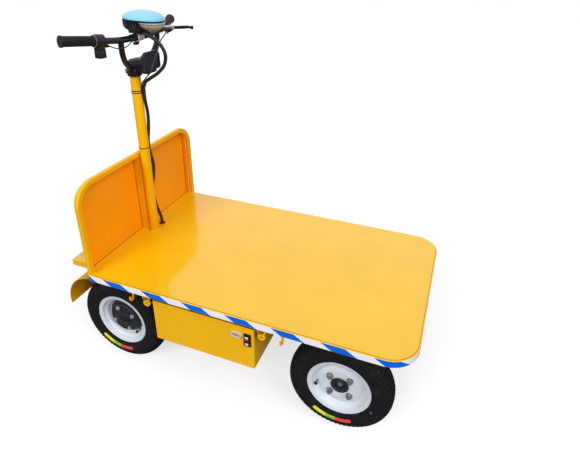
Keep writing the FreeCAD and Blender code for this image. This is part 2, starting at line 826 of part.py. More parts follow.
# ---------------------------------------------------------------- dash, lamp and horn
dash_centre_x = column_x + 70
dash_half_length = 80.0
dash_half_width = 68.0
dash_rim_z = frame_top + 872
dash_rim_height = 6.0
dash_dome = 36.0
dash_body_front = column_x + 28
dash_body_drop = 26.0


def ellipse_disc(half_x, half_y, height, x, z):
    """Elliptic plate standing on height z."""
    curve = Part.Ellipse(V(x, 0, z), half_x, half_y).toShape()
    return Part.Face(Part.Wire(curve)).extrude(V(0, 0, height))


def half_ellipsoid(half_x, half_y, half_z, x, z, side):
    """Upper (side 1) or lower (side -1) half of an ellipsoid on height z."""
    ball = Part.makeSphere(1.0)
    matrix = FreeCAD.Matrix()
    matrix.scale(half_x, half_y, half_z)
    solid = ball.transformGeometry(matrix)
    solid.translate(V(x, 0, z))
    reach = 2 * max(half_x, half_y)
    low = z if side > 0 else z - 2 * half_z
    keep = box(x - reach, x + reach, -reach, reach, low, low + 2 * half_z)
    return solid.common(keep)


def dash_housing():
    """Rim plate of the console with the black body under its back half."""
    rim_plate = ellipse_disc(dash_half_length, dash_half_width, dash_rim_height, dash_centre_x, dash_rim_z)
    body = ellipse_disc(dash_half_length - 4, dash_half_width - 12, dash_body_drop, dash_centre_x,
                        dash_rim_z - dash_body_drop)
    back = box(dash_centre_x - dash_half_length, dash_body_front, -dash_half_width, dash_half_width,
               dash_rim_z - dash_body_drop, dash_rim_z)
    return fuse([rim_plate, body.common(back)])


def dash_shell():
    return half_ellipsoid(dash_half_length - 2, dash_half_width - 2, dash_dome, dash_centre_x,
                          dash_rim_z + dash_rim_height, 1)


def headlight():
    """Clear lamp bowl under the front half of the console."""
    return half_ellipsoid(44, 50, 30, dash_centre_x + 31, dash_rim_z, -1)


bar_sleeve_half = 50.0
bar_sleeve_radius = 13.0
clip_half = 9.0
clip_radius = 15.5


def bar_sleeve():
    """Rubber sleeve on the middle of the bar."""
    outer = rod((bar_x, -bar_sleeve_half, bar_z), (bar_x, bar_sleeve_half, bar_z), bar_sleeve_radius)
    reach = bar_sleeve_half + 1
    return outer.cut(rod((bar_x, -reach, bar_z), (bar_x, reach, bar_z), bar_radius + sleeve_gap))


def dash_clip():
    """Bright strap round the sleeve."""
    outer = rod((bar_x, -clip_half, bar_z), (bar_x, clip_half, bar_z), clip_radius)
    reach = clip_half + 1
    return outer.cut(rod((bar_x, -reach, bar_z), (bar_x, reach, bar_z), bar_sleeve_radius + sleeve_gap))


def dash_bracket():
    """Foot on the strap and a plate up to the console."""
    low = bar_z + clip_radius - 4
    stand = box(bar_x - 34, bar_x - 6, -16, 16, low, dash_rim_z)
    foot = box(bar_x - 34, bar_x + 8, -16, 16, low, low + 8)
    strap = rod((bar_x, -clip_half - 1, bar_z), (bar_x, clip_half + 1, bar_z), clip_radius + sleeve_gap)
    around = rod((bar_x, -bar_sleeve_half, bar_z), (bar_x, bar_sleeve_half, bar_z),
                 bar_sleeve_radius + sleeve_gap)
    return fuse([foot, stand]).cut(strap).cut(around).cut(dash_housing())


def horn_section(x, half, low, high, top_chamfer, low_chamfer):
    """Eight-sided section of the horn at x."""
    right = [V(x, -half + low_chamfer, low), V(x, -half, low + low_chamfer),
             V(x, -half, high - top_chamfer), V(x, -half + top_chamfer, high)]
    left = [V(x, -point.y, point.z) for point in reversed(right)]
    return Part.makePolygon(right + left + [right[0]])


def horn_box():
    """Horn between the risers: a body over the collar, a flare to its mouth, and a low base."""
    body_half = 24.0
    body_high = horn_bottom + 32
    mouth_half = 58.0
    mouth_back_x = horn_front_x - 6
    base_half = 30.0
    base_length = 30.0
    base_bottom = horn_mouth_low - 8
    body = [horn_section(x, body_half, horn_bottom, body_high, 6, 8) for x in (horn_back_x, horn_neck_x)]
    mouth = [horn_section(x, mouth_half, horn_mouth_low, horn_mouth_high, 16, 5)
             for x in (mouth_back_x, horn_front_x)]
    flare = [body[1], mouth[0]]
    base = box(mouth_back_x - base_length, mouth_back_x, -base_half, base_half, base_bottom,
               horn_bottom + 4)
    return fuse([Part.makeLoft(pair, True, True) for pair in (body, flare, mouth)] + [base])


# ---------------------------------------------------------------- cables
tie_high = frame_top + 616
tie_low = frame_top + 386
tie_spread = 4.0
tie_band = 1.4
tie_half_height = 1.5
tie_angle = math.radians(18)  # the loom about the column at the upper ties
low_tie_angle = math.radians(85)
cable_touch = 0.2
loom_reach = column_radius + loom_radius + cable_touch
loom_x = column_x + loom_reach * math.cos(tie_angle)
loom_y = loom_reach * math.sin(tie_angle)
loom_low_x = column_x + loom_reach * math.cos(low_tie_angle)
loom_low_y = loom_reach * math.sin(low_tie_angle)
cable_reach = column_radius + brake_cable_radius + cable_touch
cable_to_loom = loom_radius + brake_cable_radius + cable_touch
cable_along = (cable_reach ** 2 - cable_to_loom ** 2 + loom_reach ** 2) / (2 * loom_reach)
cable_across = math.sqrt(cable_reach ** 2 - cable_along ** 2)
cable_x = column_x + cable_along * math.cos(tie_angle) + cable_across * math.sin(tie_angle)
cable_y = cable_along * math.sin(tie_angle) - cable_across * math.cos(tie_angle)
loom_bend = V(loom_x, loom_y, tie_high + 11)
loom_slope = V(6, 0, 13)
loom_joint = loom_bend + loom_slope
cable_bend = V(cable_x, cable_y, tie_high + 12)
cable_slope = V(4, -0.5, 12)
cable_joint = cable_bend + cable_slope


def column_ties():
    """Cable ties: two turns at the top and one at the headboard's height, round tube and cables."""
    tube = (column_x, 0, column_radius + cable_touch)
    upper = [tube, (loom_x, loom_y, loom_radius + cable_touch),
             (cable_x, cable_y, brake_cable_radius + cable_touch)]
    lower = [tube, (loom_low_x, loom_low_y, loom_radius + cable_touch)]
    ties = []
    for z, cores in ((tie_high - tie_spread, upper), (tie_high + tie_spread, upper), (tie_low, lower)):
        low = z - tie_half_height
        high = z + tie_half_height
        band = fuse([rod((x, y, low), (x, y, high), radius + tie_band) for x, y, radius in cores])
        for x, y, radius in cores:
            band = band.cut(rod((x, y, low - 1), (x, y, high + 1), radius))
        ties.append(max(band.Solids, key=lambda solid: solid.Volume))
    return Part.Compound(ties)


def cable_grommet():
    inner = loom_radius + cable_touch
    flange = ring(grommet_flange_radius, inner, frame_top, deck_top + grommet_flange_height,
                  grommet_x, grommet_y)
    neck = ring(grommet_hole_radius - grommet_fit, inner, frame_bottom, frame_top, grommet_x, grommet_y)
    return fuse([flange, neck])


def column_cables():
    """Loom from the upper ties down the column and into the grommet; the brake cable's end joins it."""
    loom_points = [tuple(loom_joint), tuple(loom_bend), (loom_x, loom_y, tie_high - 30),
                   (loom_x - 2, loom_y + 12, tie_high - 95), (loom_x - 13, loom_y + 18, tie_high - 160),
                   (loom_low_x, loom_low_y, tie_low + 20), (loom_low_x, loom_low_y, tie_low - 20),
                   (loom_low_x + 2, loom_low_y + 15, tie_low - 90),
                   (loom_low_x - 8, loom_low_y + 19, tie_low - 150), (column_x - 17, 41, frame_top + 180),
                   (column_x - 12, 40, frame_top + 125), (column_x - 2, 40, frame_top + 80),
                   (grommet_x, grommet_y, deck_top + 32), (grommet_x, grommet_y, frame_bottom - 12)]
    loom = route(loom_points, loom_radius, report="column loom")
    cable_points = [tuple(cable_joint), tuple(cable_bend), (cable_x, cable_y, tie_high - 14),
                    (cable_x + 2, cable_y + 6, tie_high - 40)]
    cable = route(cable_points, brake_cable_radius, report="column cable")
    return Part.Compound([loom, cable.cut(loom)])


def loom_loop():
    """Slack loop from the console, over the bar and forward, back to the upper ties."""
    x = column_x
    z = frame_top
    points = [(dash_body_front - 4, -24, dash_rim_z - 14), (x + 54, -25, z + 845), (x + 92, -24, z + 835),
              (x + 135, -18, z + 811), (x + 157, -12, z + 770), (x + 143, -6, z + 726),
              (x + 104, 0, z + 692), (x + 68, 5, z + 672), tuple(loom_joint + loom_slope), tuple(loom_joint)]
    return route(points, loom_radius, report="loom_loop").cut(dash_housing())


def brake_cable():
    """Cable from the lever mount down in front of the horn's mouth and back to the upper ties."""
    x = column_x
    z = frame_top
    points = [(x + 54, 165, z + 824), (x + 52, 146, z + 811), (x + 61, 99, z + 794), (x + 75, 66, z + 784),
              (x + 95, 26, z + 769), (x + 95, -6, z + 735), (x + 89, -18, z + 702), (x + 53, -4, z + 673),
              tuple(cable_joint + cable_slope), tuple(cable_joint)]
    return route(points, brake_cable_radius, report="brake_cable").cut(brake_perch())


def throttle_wire():
    """Thin wire from the throttle's nub, in front of the right riser, to the sleeve on the bar."""
    a = grip_point(throttle_start, -1)
    end_y = -bar_sleeve_half
    points = [(a.x + 8, a.y + 16, a.z - throttle_radius + 3), (a.x + 22, a.y + 38, bar_z - 24),
              (bar_x + 18, -bar_half - 2, bar_z - 22), (bar_x + 18, end_y - 28, bar_z - 12),
              (bar_x + bar_radius + 2, end_y, bar_z)]
    return route(points, wire_radius, report="throttle_wire").cut(throttle()).cut(bar_sleeve())


NODES = {
    "deck_frame": deck_frame,
    "deck_sheet": deck_sheet,
    "bearers": bearers,
    "cross_members": cross_members,
    "headboard_frame": headboard_frame,
    "headboard_panel": headboard_panel,
    "headboard_stiffener": headboard_stiffener,
    "rear_step": rear_step,
    "mudguards": mudguards,
    "steering_column": steering_column,
    "column_bushings": column_bushings,
    "rear_axle_beam": rear_axle_beam,
    "front_axle_beam": front_axle_beam,
    "axle_hangers": axle_hangers,
    "battery_box": battery_box,
    "battery_pack": battery_pack,
    "charge_socket": charge_socket,
    "box_switch": box_switch,
    "box_lugs": box_lugs,
    "rope_hooks": rope_hooks,
    "cable_grommet": cable_grommet,
    "column_ties": column_ties,
    "column_cables": column_cables,
    "loom_loop": loom_loop,
    "brake_cable": brake_cable,
    "throttle_wire": throttle_wire,
    "steering_shaft": steering_shaft,
    "pitman_arm": pitman_arm,
    "stem_collar": stem_collar,
    "handlebar": handlebar,
    "riser_left": lambda: riser(1),
    "riser_right": lambda: riser(-1),
    "grips": grips,
    "throttle": throttle,
    "switch_block": switch_block,
    "brake_perch": brake_perch,
    "brake_lever": brake_lever,
    "bar_sleeve": bar_sleeve,
    "dash_clip": dash_clip,
    "dash_bracket": dash_bracket,
    "dash_housing": dash_housing,
    "dash_shell": dash_shell,
    "headlight": headlight,
    "horn_box": horn_box,
    "tie_rod": tie_rod,
}

for name, make in NODES.items():
    save(name, make())

for side_name, side in (("left", 1), ("right", -1)):
    save("knuckle_" + side_name, knuckle(side))
    save("hub_motor_" + side_name, hub_motor(side))
    save("front_hub_" + side_name, front_hub(side))
    save("tyre_front_" + side_name, tyre(front_axle_x, side))
    save("tyre_rear_" + side_name, tyre(rear_axle_x, side))
    save("rim_front_" + side_name, rim(front_axle_x, side, front_disc))
    save("rim_rear_" + side_name, rim(rear_axle_x, side, rear_disc))
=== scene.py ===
import json
import math

import bmesh
import bpy
from mathutils import Matrix, Vector


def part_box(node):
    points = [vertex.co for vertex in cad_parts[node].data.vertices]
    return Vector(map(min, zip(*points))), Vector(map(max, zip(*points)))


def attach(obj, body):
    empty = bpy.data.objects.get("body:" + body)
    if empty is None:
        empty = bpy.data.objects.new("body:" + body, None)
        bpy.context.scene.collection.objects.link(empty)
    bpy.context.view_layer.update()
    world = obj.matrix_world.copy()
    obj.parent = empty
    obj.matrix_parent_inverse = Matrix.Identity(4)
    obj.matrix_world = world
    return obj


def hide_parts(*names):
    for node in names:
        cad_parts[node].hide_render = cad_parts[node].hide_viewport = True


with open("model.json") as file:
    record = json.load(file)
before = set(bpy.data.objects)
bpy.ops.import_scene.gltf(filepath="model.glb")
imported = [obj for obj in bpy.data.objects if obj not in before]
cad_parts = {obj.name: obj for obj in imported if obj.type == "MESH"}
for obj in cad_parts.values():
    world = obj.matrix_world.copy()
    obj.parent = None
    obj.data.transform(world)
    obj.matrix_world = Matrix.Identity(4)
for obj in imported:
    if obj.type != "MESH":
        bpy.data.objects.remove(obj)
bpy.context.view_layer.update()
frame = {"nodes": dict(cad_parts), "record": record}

MM = 0.001
nodes = frame["nodes"]
scene = bpy.context.scene


# ------------------------ materials
class Surface:
    """A Principled material whose colour, roughness and bump come from small node patterns."""

    def __init__(self, name, color, roughness, metallic=0.0, specular=0.5, coat=0.0, coat_roughness=0.1):
        self.material = bpy.data.materials.new(name)
        self.material.use_nodes = True
        self.tree = self.material.node_tree
        self.shader = self.tree.nodes["Principled BSDF"]
        self.color = tuple(color)
        for socket, value in (("Base Color", (*color, 1.0)), ("Roughness", roughness), ("Metallic", metallic),
                              ("Specular IOR Level", specular), ("Coat Weight", coat),
                              ("Coat Roughness", coat_roughness)):
            self.shader.inputs[socket].default_value = value
        self.coordinates = self.node("ShaderNodeTexCoord").outputs["Object"]
        self.color_socket = None

    def node(self, kind, **values):
        made = self.tree.nodes.new(kind)
        for key, value in values.items():
            if hasattr(made, key):
                setattr(made, key, value)
            else:
                made.inputs[key.replace("_", " ").title()].default_value = value
        return made

    def link(self, source, target):
        self.tree.links.new(source, target)

    def noise(self, scale, detail=3.0):
        made = self.node("ShaderNodeTexNoise", Scale=scale, Detail=detail)
        self.link(self.coordinates, made.inputs["Vector"])
        return made.outputs["Fac"]

    def ramp(self, value, low, high, a=0.0, b=1.0):
        """Reads low to high as a to b, and holds the ends."""
        made = self.node("ShaderNodeMapRange")
        for socket, number in (("From Min", low), ("From Max", high), ("To Min", a), ("To Max", b)):
            made.inputs[socket].default_value = number
        self.link(value, made.inputs["Value"])
        return made.outputs["Result"]

    def tint(self, factor, color):
        """Mixes a second colour in where factor is 1."""
        mix = self.node("ShaderNodeMix", data_type="RGBA")
        first = mix.inputs[6]
        if self.color_socket:
            self.link(self.color_socket, first)
        else:
            first.default_value = (*self.color, 1.0)
        mix.inputs[7].default_value = (*color, 1.0)
        self.link(factor, mix.inputs["Factor"])
        self.color_socket = mix.outputs[2]
        self.link(self.color_socket, self.shader.inputs["Base Color"])

    def roughen(self, factor, low, high):
        self.link(self.ramp(factor, 0.0, 1.0, low, high), self.shader.inputs["Roughness"])

    def bump(self, height, strength, distance):
        made = self.node("ShaderNodeBump", Strength=strength, Distance=distance)
        self.link(height, made.inputs["Height"])
        self.link(made.outputs["Normal"], self.shader.inputs["Normal"])


def linear(red, green, blue):
    """Scene-linear colour of an sRGB one given as 0 to 255."""
    shares = (value / 255 for value in (red, green, blue))
    return tuple(v / 12.92 if v <= 0.04045 else ((v + 0.055) / 1.055) ** 2.4 for v in shares)


def shade(color, factor):
    return tuple(min(1.0, c * factor) for c in color)


def paint(name, color, roughness=0.34, coat=0.25, gloss=0.18, grime=0.25, peel=0.05, specular=0.5):
    """Sprayed paint: cloudy tone, faint dust in patches, orange peel."""
    s = Surface(name, color, roughness, specular=specular, coat=coat, coat_roughness=gloss)
    s.tint(s.ramp(s.noise(5.0, 4.0), 0.35, 0.7), shade(color, 0.93))
    s.tint(s.ramp(s.noise(38.0, 6.0), 0.62, 0.78, 0.0, grime), shade(color, 0.72))
    s.roughen(s.noise(22.0, 4.0), roughness - 0.07, roughness + 0.12)
    s.bump(s.noise(420.0, 2.0), peel, 0.0006)
    return s.material


def metal(name, color, roughness, grain=60.0, metallic=1.0, coat=0.0, specular=0.5):
    """Bare or enamelled metal: blotches, uneven polish and a fine grain."""
    s = Surface(name, color, roughness, metallic=metallic, specular=specular, coat=coat)
    s.tint(s.ramp(s.noise(grain, 5.0), 0.45, 0.75, 0.0, 0.6), shade(color, 0.62))
    s.roughen(s.noise(grain * 1.7, 4.0), roughness - 0.08, roughness + 0.18)
    s.bump(s.noise(grain * 9, 3.0), 0.08, 0.0004)
    return s.material


def plastic(name, color, roughness, texture=900.0, depth=0.12, specular=0.5):
    """Moulded plastic or rubber: slightly greyed patches and a moulded grain."""
    s = Surface(name, color, roughness, specular=specular)
    s.tint(s.ramp(s.noise(30.0, 4.0), 0.5, 0.8, 0.0, 0.5), tuple(c + 0.02 for c in color))
    s.roughen(s.noise(55.0, 3.0), roughness - 0.06, roughness + 0.1)
    s.bump(s.noise(texture, 2.0), depth, 0.0003)
    return s.material


# one material for each of the record's slots, and others for pieces that differ from their slot
materials = {
    "deck_paint": paint("deck_yellow", linear(247, 193, 3), 0.32, coat=1.0, gloss=0.06, grime=0.08),
    "frame_paint": paint("frame_yellow", linear(252, 188, 4), 0.4, coat=0.25, gloss=0.15, specular=0.3),
    "underside_paint": paint("underside_yellow", linear(246, 178, 8), 0.55, coat=0.0, grime=0.3,
                             specular=0.12),
    "column_paint": paint("column_yellow", linear(250, 184, 2), 0.32, coat=0.12, gloss=0.1, specular=0.2),
    "black_metal": metal("black_enamel", (0.008, 0.009, 0.011), 0.2, metallic=0.0, specular=0.4),
    "zinc_steel": metal("zinc_steel", (0.66, 0.67, 0.69), 0.24),
    "dark_steel": metal("dark_steel", (0.12, 0.12, 0.13), 0.45),
    "white_rim": paint("rim_white", linear(218, 224, 233), 0.36, coat=0.3, gloss=0.15, grime=0.08),
    "tyre": plastic("tyre_rubber", linear(23, 22, 23), 0.74, 500.0, 0.2, specular=0.2),
    "black_rubber": plastic("black_rubber", linear(28, 30, 36), 0.6, specular=0.25),
    "black_plastic": plastic("black_plastic", linear(24, 25, 29), 0.42, specular=0.35),
    "grey_plastic": plastic("grey_plastic", linear(205, 203, 200), 0.4),
    "horn_plastic": plastic("horn_plastic", linear(44, 41, 52), 0.36, specular=0.35),
    "blue_plastic": plastic("blue_plastic", linear(140, 208, 242), 0.1, depth=0.02),
    # the lamp lens's tan-white colour is a painted reflection of the reflector behind it
    "lamp_lens": plastic("lamp_lens", linear(205, 195, 175), 0.08, depth=0.02),
    "cable_black": plastic("cable_black", linear(34, 33, 36), 0.4),
    "cable_grey": plastic("cable_grey", linear(70, 70, 74), 0.35),
    "grommet_red": plastic("grommet_red", linear(122, 26, 16), 0.5),
    "battery_case": plastic("battery_case", (0.02, 0.02, 0.022), 0.5),
    "silver_cast": metal("silver_cast", (0.6, 0.61, 0.63), 0.3),
}
# painted bounce light: a copy of the yellow paint made orange, standing for the yellow light the headboard's
# panel gets back from the deck
panel_painted_bounce = paint("panel_painted_bounce", linear(255, 158, 1), 0.4, coat=0.2, gloss=0.12, grime=0.1, specular=0.2)
tape_white = paint("tape_white", linear(246, 247, 253), 0.4, coat=0.1, gloss=0.1, grime=0.1)
tape_blue = paint("tape_blue", linear(0, 104, 224), 0.4, coat=0.1, gloss=0.1, grime=0.05, specular=0.2)
nub_rubber = plastic("nub_rubber", linear(96, 80, 60), 0.6)
dash_rim_blue = plastic("dash_rim_blue", linear(14, 44, 66), 0.3, specular=0.3)
lever_black = plastic("lever_black", linear(10, 11, 15), 0.3, specular=0.2)
flap_grey = plastic("flap_grey", linear(150, 150, 154), 0.4)
nut_steel = metal("nut_steel", (0.42, 0.43, 0.45), 0.32)
# painted light: the strap's own white, raised to nearly full to lift it out of the console's shade
strap_painted_light = paint("strap_painted_light", linear(252, 252, 255), 0.3, coat=0.2, gloss=0.1, grime=0.0)
signal_red = plastic("signal_red", linear(216, 24, 48), 0.3)
yellow_bolt = metal("yellow_bolt", linear(214, 160, 40), 0.3)
# painted shadow: dark brown lines that stand for the shade in the joints round the deck sheet and the
# headboard's panel
shadow_line_brown = paint("shadow_line_brown", linear(156, 76, 0), 0.6, coat=0.0, specular=0.1)
# painted shadow: a near-black strip that stands for the shade in the gap under the rail
gap_shadow_dark = paint("gap_shadow_dark", linear(40, 26, 8), 0.7, coat=0.0, specular=0.1)
cover_black = metal("cover_black", linear(30, 28, 33), 0.36, metallic=0.0, coat=0.3)


# ------------------------ CAD nodes that stay
slot_of = {row["node"]: row["material_slot"] for row in frame["record"]["subparts"]}
for name, ob in nodes.items():
    ob.data.materials.clear()
    ob.data.materials.append(materials[slot_of[name]])
# the headboard's panel gets the orange copy, with painted bounce light from the deck
nodes["headboard_panel"].data.materials[0] = panel_painted_bounce
nodes["headboard_frame"].data.materials[0] = materials["column_paint"]
nodes["deck_frame"].data.materials[0] = materials["deck_paint"]


def round_edges(ob, width, angle):
    """Rounds the edges sharper than angle, to width millimetres."""
    bevel = ob.modifiers.new("bevel", "BEVEL")
    bevel.width = width * MM
    bevel.segments = 2
    bevel.limit_method = "ANGLE"
    bevel.angle_limit = math.radians(angle)
    bevel.harden_normals = True


def soften(name, width):
    """Rounds the sharp edges of a CAD node as pressed, bent and ground metal has them."""
    ob = nodes[name]
    weld = ob.modifiers.new("weld", "WELD")
    weld.merge_threshold = 1e-5
    plane = ob.modifiers.new("plane", "DECIMATE")
    plane.decimate_type = "DISSOLVE"
    plane.angle_limit = math.radians(0.3)
    round_edges(ob, width, 35)


EDGES = {"deck_frame": 2.5, "headboard_frame": 3.0, "battery_box": 2.0, "rear_step": 2.0,
         "cross_members": 2.0, "bearers": 2.0, "rear_axle_beam": 2.0, "front_axle_beam": 2.0,
         "axle_hangers": 1.5, "headboard_stiffener": 2.5, "headboard_panel": 0.6, "box_lugs": 1.0,
         "stem_collar": 1.5, "steering_column": 0.8}
for name, width in EDGES.items():
    soften(name, width)


# ------------------------ mesh tools
UP = Vector((0, 0, 1))
SQUARE = ((-1, -1), (1, -1), (1, 1), (-1, 1))


def mm(x, y, z):
    return Vector((x, y, z)) * MM


def in_mm(corners):
    """Low corner, high corner and middle of a box, in millimetres."""
    low, high = (Vector(corner) / MM for corner in corners)
    return low, high, (low + high) / 2


def turns(count, phase=0.0):
    """Equal angles once round."""
    return [2 * math.pi * (k + phase) / count for k in range(count)]


def circle_point(radius, turn):
    return radius * math.cos(turn), radius * math.sin(turn)


def polar(radius, degrees):
    return circle_point(radius, math.radians(degrees))


def direction_at(path, i):
    return (path[min(i + 1, len(path) - 1)] - path[max(i - 1, 0)]).normalized()


def along_y(x, y, z, side=1):
    """Places (outward, forward, up) millimetres from a point, outward along Y."""
    return lambda a, u, v: mm(x + u, y + side * a, z + v)


def along_z(x, y, z):
    """Places (upward, forward, left) millimetres from a point."""
    return lambda a, u, v: mm(x + u, y + v, z + a)


def shifted(place, forward, up):
    return lambda a, u, v: place(a, forward + u, up + v)


class Shape:
    """Closed shells gathered into one mesh."""

    def __init__(self):
        self.verts = []
        self.faces = []

    def loft(self, rings, closed=False):
        """Joins equal rings of points; the ends are capped unless the rings close on themselves."""
        first = len(self.verts)
        count = len(rings[0])
        for ring in rings:
            self.verts += [Vector(point) for point in ring]
        for i in range(len(rings) if closed else len(rings) - 1):
            a = first + i * count
            b = first + (i + 1) % len(rings) * count
            self.faces += [(a + j, a + (j + 1) % count, b + (j + 1) % count, b + j) for j in range(count)]
        if not closed:
            last = first + (len(rings) - 1) * count
            self.faces.append(tuple(first + j for j in reversed(range(count))))
            self.faces.append(tuple(last + j for j in range(count)))
        return self

    def spin(self, profile, place, steps):
        """Ring from a closed profile of (along the axis, radius)."""
        rings = [[place(a, *circle_point(r, t)) for a, r in profile] for t in turns(steps)]
        return self.loft(rings, closed=True)

    def lathe(self, profile, place, steps, phase=0.0):
        """Solid from an open profile of (along the axis, radius)."""
        return self.loft([[place(a, *circle_point(r, t)) for t in turns(steps, phase)] for a, r in profile])

    def slab(self, points, y0, y1):
        """Plate from a closed side view of (x, z) points in millimetres, between two places across."""
        return self.loft([[mm(x, y, z) for x, z in points] for y in (y0, y1)])

    def tube(self, points, radii, steps):
        """Round bar through points, with a radius for each."""
        rings = []
        side = direction_at(points, 0).orthogonal().normalized()
        for i, (point, radius) in enumerate(zip(points, radii)):
            way = direction_at(points, i)
            side = (side - way * side.dot(way)).normalized()
            other = way.cross(side)
            rings.append([point + (side * math.cos(t) + other * math.sin(t)) * radius for t in turns(steps)])
        return self.loft(rings)

    def piece(self, name, body, slot, material=None, replaces=(), sharp=35, bevel=0.0):
        """Makes the object; sharp is the least angle of an edge that stays sharp."""
        mesh = bpy.data.meshes.new(name)
        mesh.from_pydata(self.verts, [], self.faces)
        work = bmesh.new()
        work.from_mesh(mesh)
        bmesh.ops.recalc_face_normals(work, faces=work.faces)
        work.to_mesh(mesh)
        work.free()
        mesh.shade_smooth()
        mesh.set_sharp_from_angle(angle=math.radians(sharp))
        mesh.materials.append(material or materials[slot])
        ob = bpy.data.objects.new(name, mesh)
        scene.collection.objects.link(ob)
        if bevel:
            round_edges(ob, bevel, 40)
        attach(ob, body)
        if replaces:
            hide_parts(*replaces)


def smooth_path(points, steps):
    """Points along a smooth line through all the given ones."""
    ends = [2 * points[0] - points[1]] + points + [2 * points[-1] - points[-2]]
    line = []
    for i in range(1, len(ends) - 2):
        a, b, c, d = ends[i - 1:i + 3]
        for k in range(steps):
            t = k / steps
            line.append(0.5 * (2 * b + (c - a) * t + (2 * a - 5 * b + 4 * c - d) * t * t
                               + (3 * b - a - 3 * c + d) * t ** 3))
    return line + [points[-1]]


# ------------------------ wheels
SIDES = (("left", 1), ("right", -1))
# profiles: (outward from the wheel's middle, radius)
TYRE = [(28, 101.3), (34.6, 101.3), (34.6, 113), (35.2, 115.9), (37.2, 117.2), (39, 119), (40.2, 121.6),
        (42.3, 123.2), (43, 125.4), (42.4, 127.4), (43.6, 130.5), (45.3, 134.2), (46.4, 139), (46.9, 145),
        (47, 150), (46.6, 155), (46.1, 157.4), (46.7, 158.4), (46.5, 160.4), (45.6, 161.4), (44.6, 164.5),
        (41.5, 170), (36.5, 175.2), (30, 178.9), (20, 181.8), (10, 183.6), (0, 184.2)]
CROWN = [(0, 189), (10, 188.5), (20, 186.9), (30, 183.2), (36, 179.2), (41, 173.2), (44.6, 166.8),
         (46.2, 163)]
SIDEWALL = [(r, a) for a, r in TYRE if 127 < r < 156]
TREAD_DEPTH = 5.6
PITCHES = 66


def along(table, x):
    """Straight-line reading of a table of pairs."""
    x = abs(x)
    for (x0, y0), (x1, y1) in zip(table, table[1:]):
        if x <= x1:
            return y0 + (y1 - y0) * (x - x0) / (x1 - x0)
    return table[-1][1]


def wheel_place(node, side):
    """Places (outward, forward, up) millimetres from the middle of a wheel."""
    low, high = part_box(node)
    middle = (Vector(low) + Vector(high)) / 2

    def place(out, forward, up):
        return middle + Vector((forward, side * out, up)) * MM

    return place


def tread_block(shape, place, a0, a1, start, span, skew):
    """One raised block between two places across the tread; angles are in pitches."""
    draft = 0.05
    steps = max(3, int(abs(a1 - a0) / 4) + 2)
    rings = []
    for i in range(steps + 1):
        t = i / steps
        a = a0 + (a1 - a0) * t
        top = along(CROWN, a) - (0.5 if i in (0, steps) else 0)
        foot = along(CROWN, a) - TREAD_DEPTH
        shift = start + skew * t
        corners = ((top, shift + draft), (top, shift + span - draft), (foot, shift + span), (foot, shift))
        rings.append([place(a, *polar(r, 360 * p / PITCHES)) for r, p in corners])
    shape.loft(rings)


WHEELS = [(end, word, "%s_wheel_%s" % (end, word), wheel_place("tyre_%s_%s" % (end, word), side))
          for end in ("front", "rear") for word, side in SIDES]
outline = TYRE + [(-a, r) for a, r in reversed(TYRE[:-1])]
for end, word, body, place in WHEELS:
    tyre = Shape().spin(outline, place, 120)
    for k in range(PITCHES):
        for across in (1, -1):
            late = 0.5 if across < 0 else 0.0
            tread_block(tyre, place, across * 25, across * 45.6, k + late, 0.62, 0.18)
            tread_block(tyre, place, across * 11.5, across * 22.5, k + late + 0.3, 0.66, -0.3)
        tread_block(tyre, place, -3, 8.8, k, 0.7, 0.32)
        tread_block(tyre, place, -9, -4.4, k + 0.35, 0.7, -0.2)
    node = "tyre_%s_%s" % (end, word)
    tyre.piece(node + "_tread", body, "tyre", replaces=(node,), sharp=32)

BARREL_BACK = [(11, 84.6), (6, 85), (-17, 85), (-19.5, 86.4), (-26, 96), (-31, 97.5),
               (-37.5, 98.6), (-38.2, 108), (-38.2, 114), (-37.2, 115.2), (-35.3, 114.8), (-35, 103),
               (-33.6, 101.2), (-25, 100.2), (-17, 88.8), (-15, 88), (15, 88), (17, 88.8),
               (25, 100.2), (33.6, 101.2), (35, 103)]
RIM_LIP = [(35.2, 114.2), (35.9, 115.1), (37, 115.3), (38, 114.7), (38.3, 113.5), (37.9, 112.2),
           (36.9, 110.6), (36.2, 107.5), (36, 103.5), (35.2, 100.6), (33.4, 98.8), (30.6, 98),
           (27.4, 97.4), (25.4, 95.8), (20.8, 88.4), (18.8, 85.9), (16.4, 84.8)]
FRONT_DISC = [(15.4, 84), (15, 82.4), (15.6, 80.8), (17.4, 79.2), (18.2, 77.4), (18.4, 73.2), (19, 71),
              (20.8, 68.4), (21.3, 66.2), (21.4, 62), (21.4, 34), (20.8, 31.8), (19.4, 30.6), (17.4, 30.2),
              (14.8, 31.2), (14, 34), (14, 66), (11.6, 71), (11.4, 80)]
REAR_DISC = [(13, 84.2), (9, 83.4), (6.6, 82), (5.4, 80.4), (4.6, 78.6), (3.4, 77.5), (-14.4, 77.5),
             (-16, 79), (-16, 83), (-14, 84.8)]
for end, word, body, place in WHEELS:
    node = "rim_%s_%s" % (end, word)
    disc = FRONT_DISC if end == "front" else REAR_DISC
    Shape().spin(RIM_LIP + disc + BARREL_BACK, place, 128).piece(
        node + "_pressed", body, "white_rim", replaces=(node,), sharp=50)

BOLT_CIRCLE = 50.0
FRONT_NUT_TURN = 46
REAR_BOLT_TURN = 26


def hexagon(shape, place, base, height, radius, phase):
    """Chamfered hexagon head standing outward."""
    chamfer = radius * 0.08
    shape.lathe([(base, radius), (base + height - chamfer, radius), (base + height, radius - 1.6 * chamfer)],
                place, 6, phase)


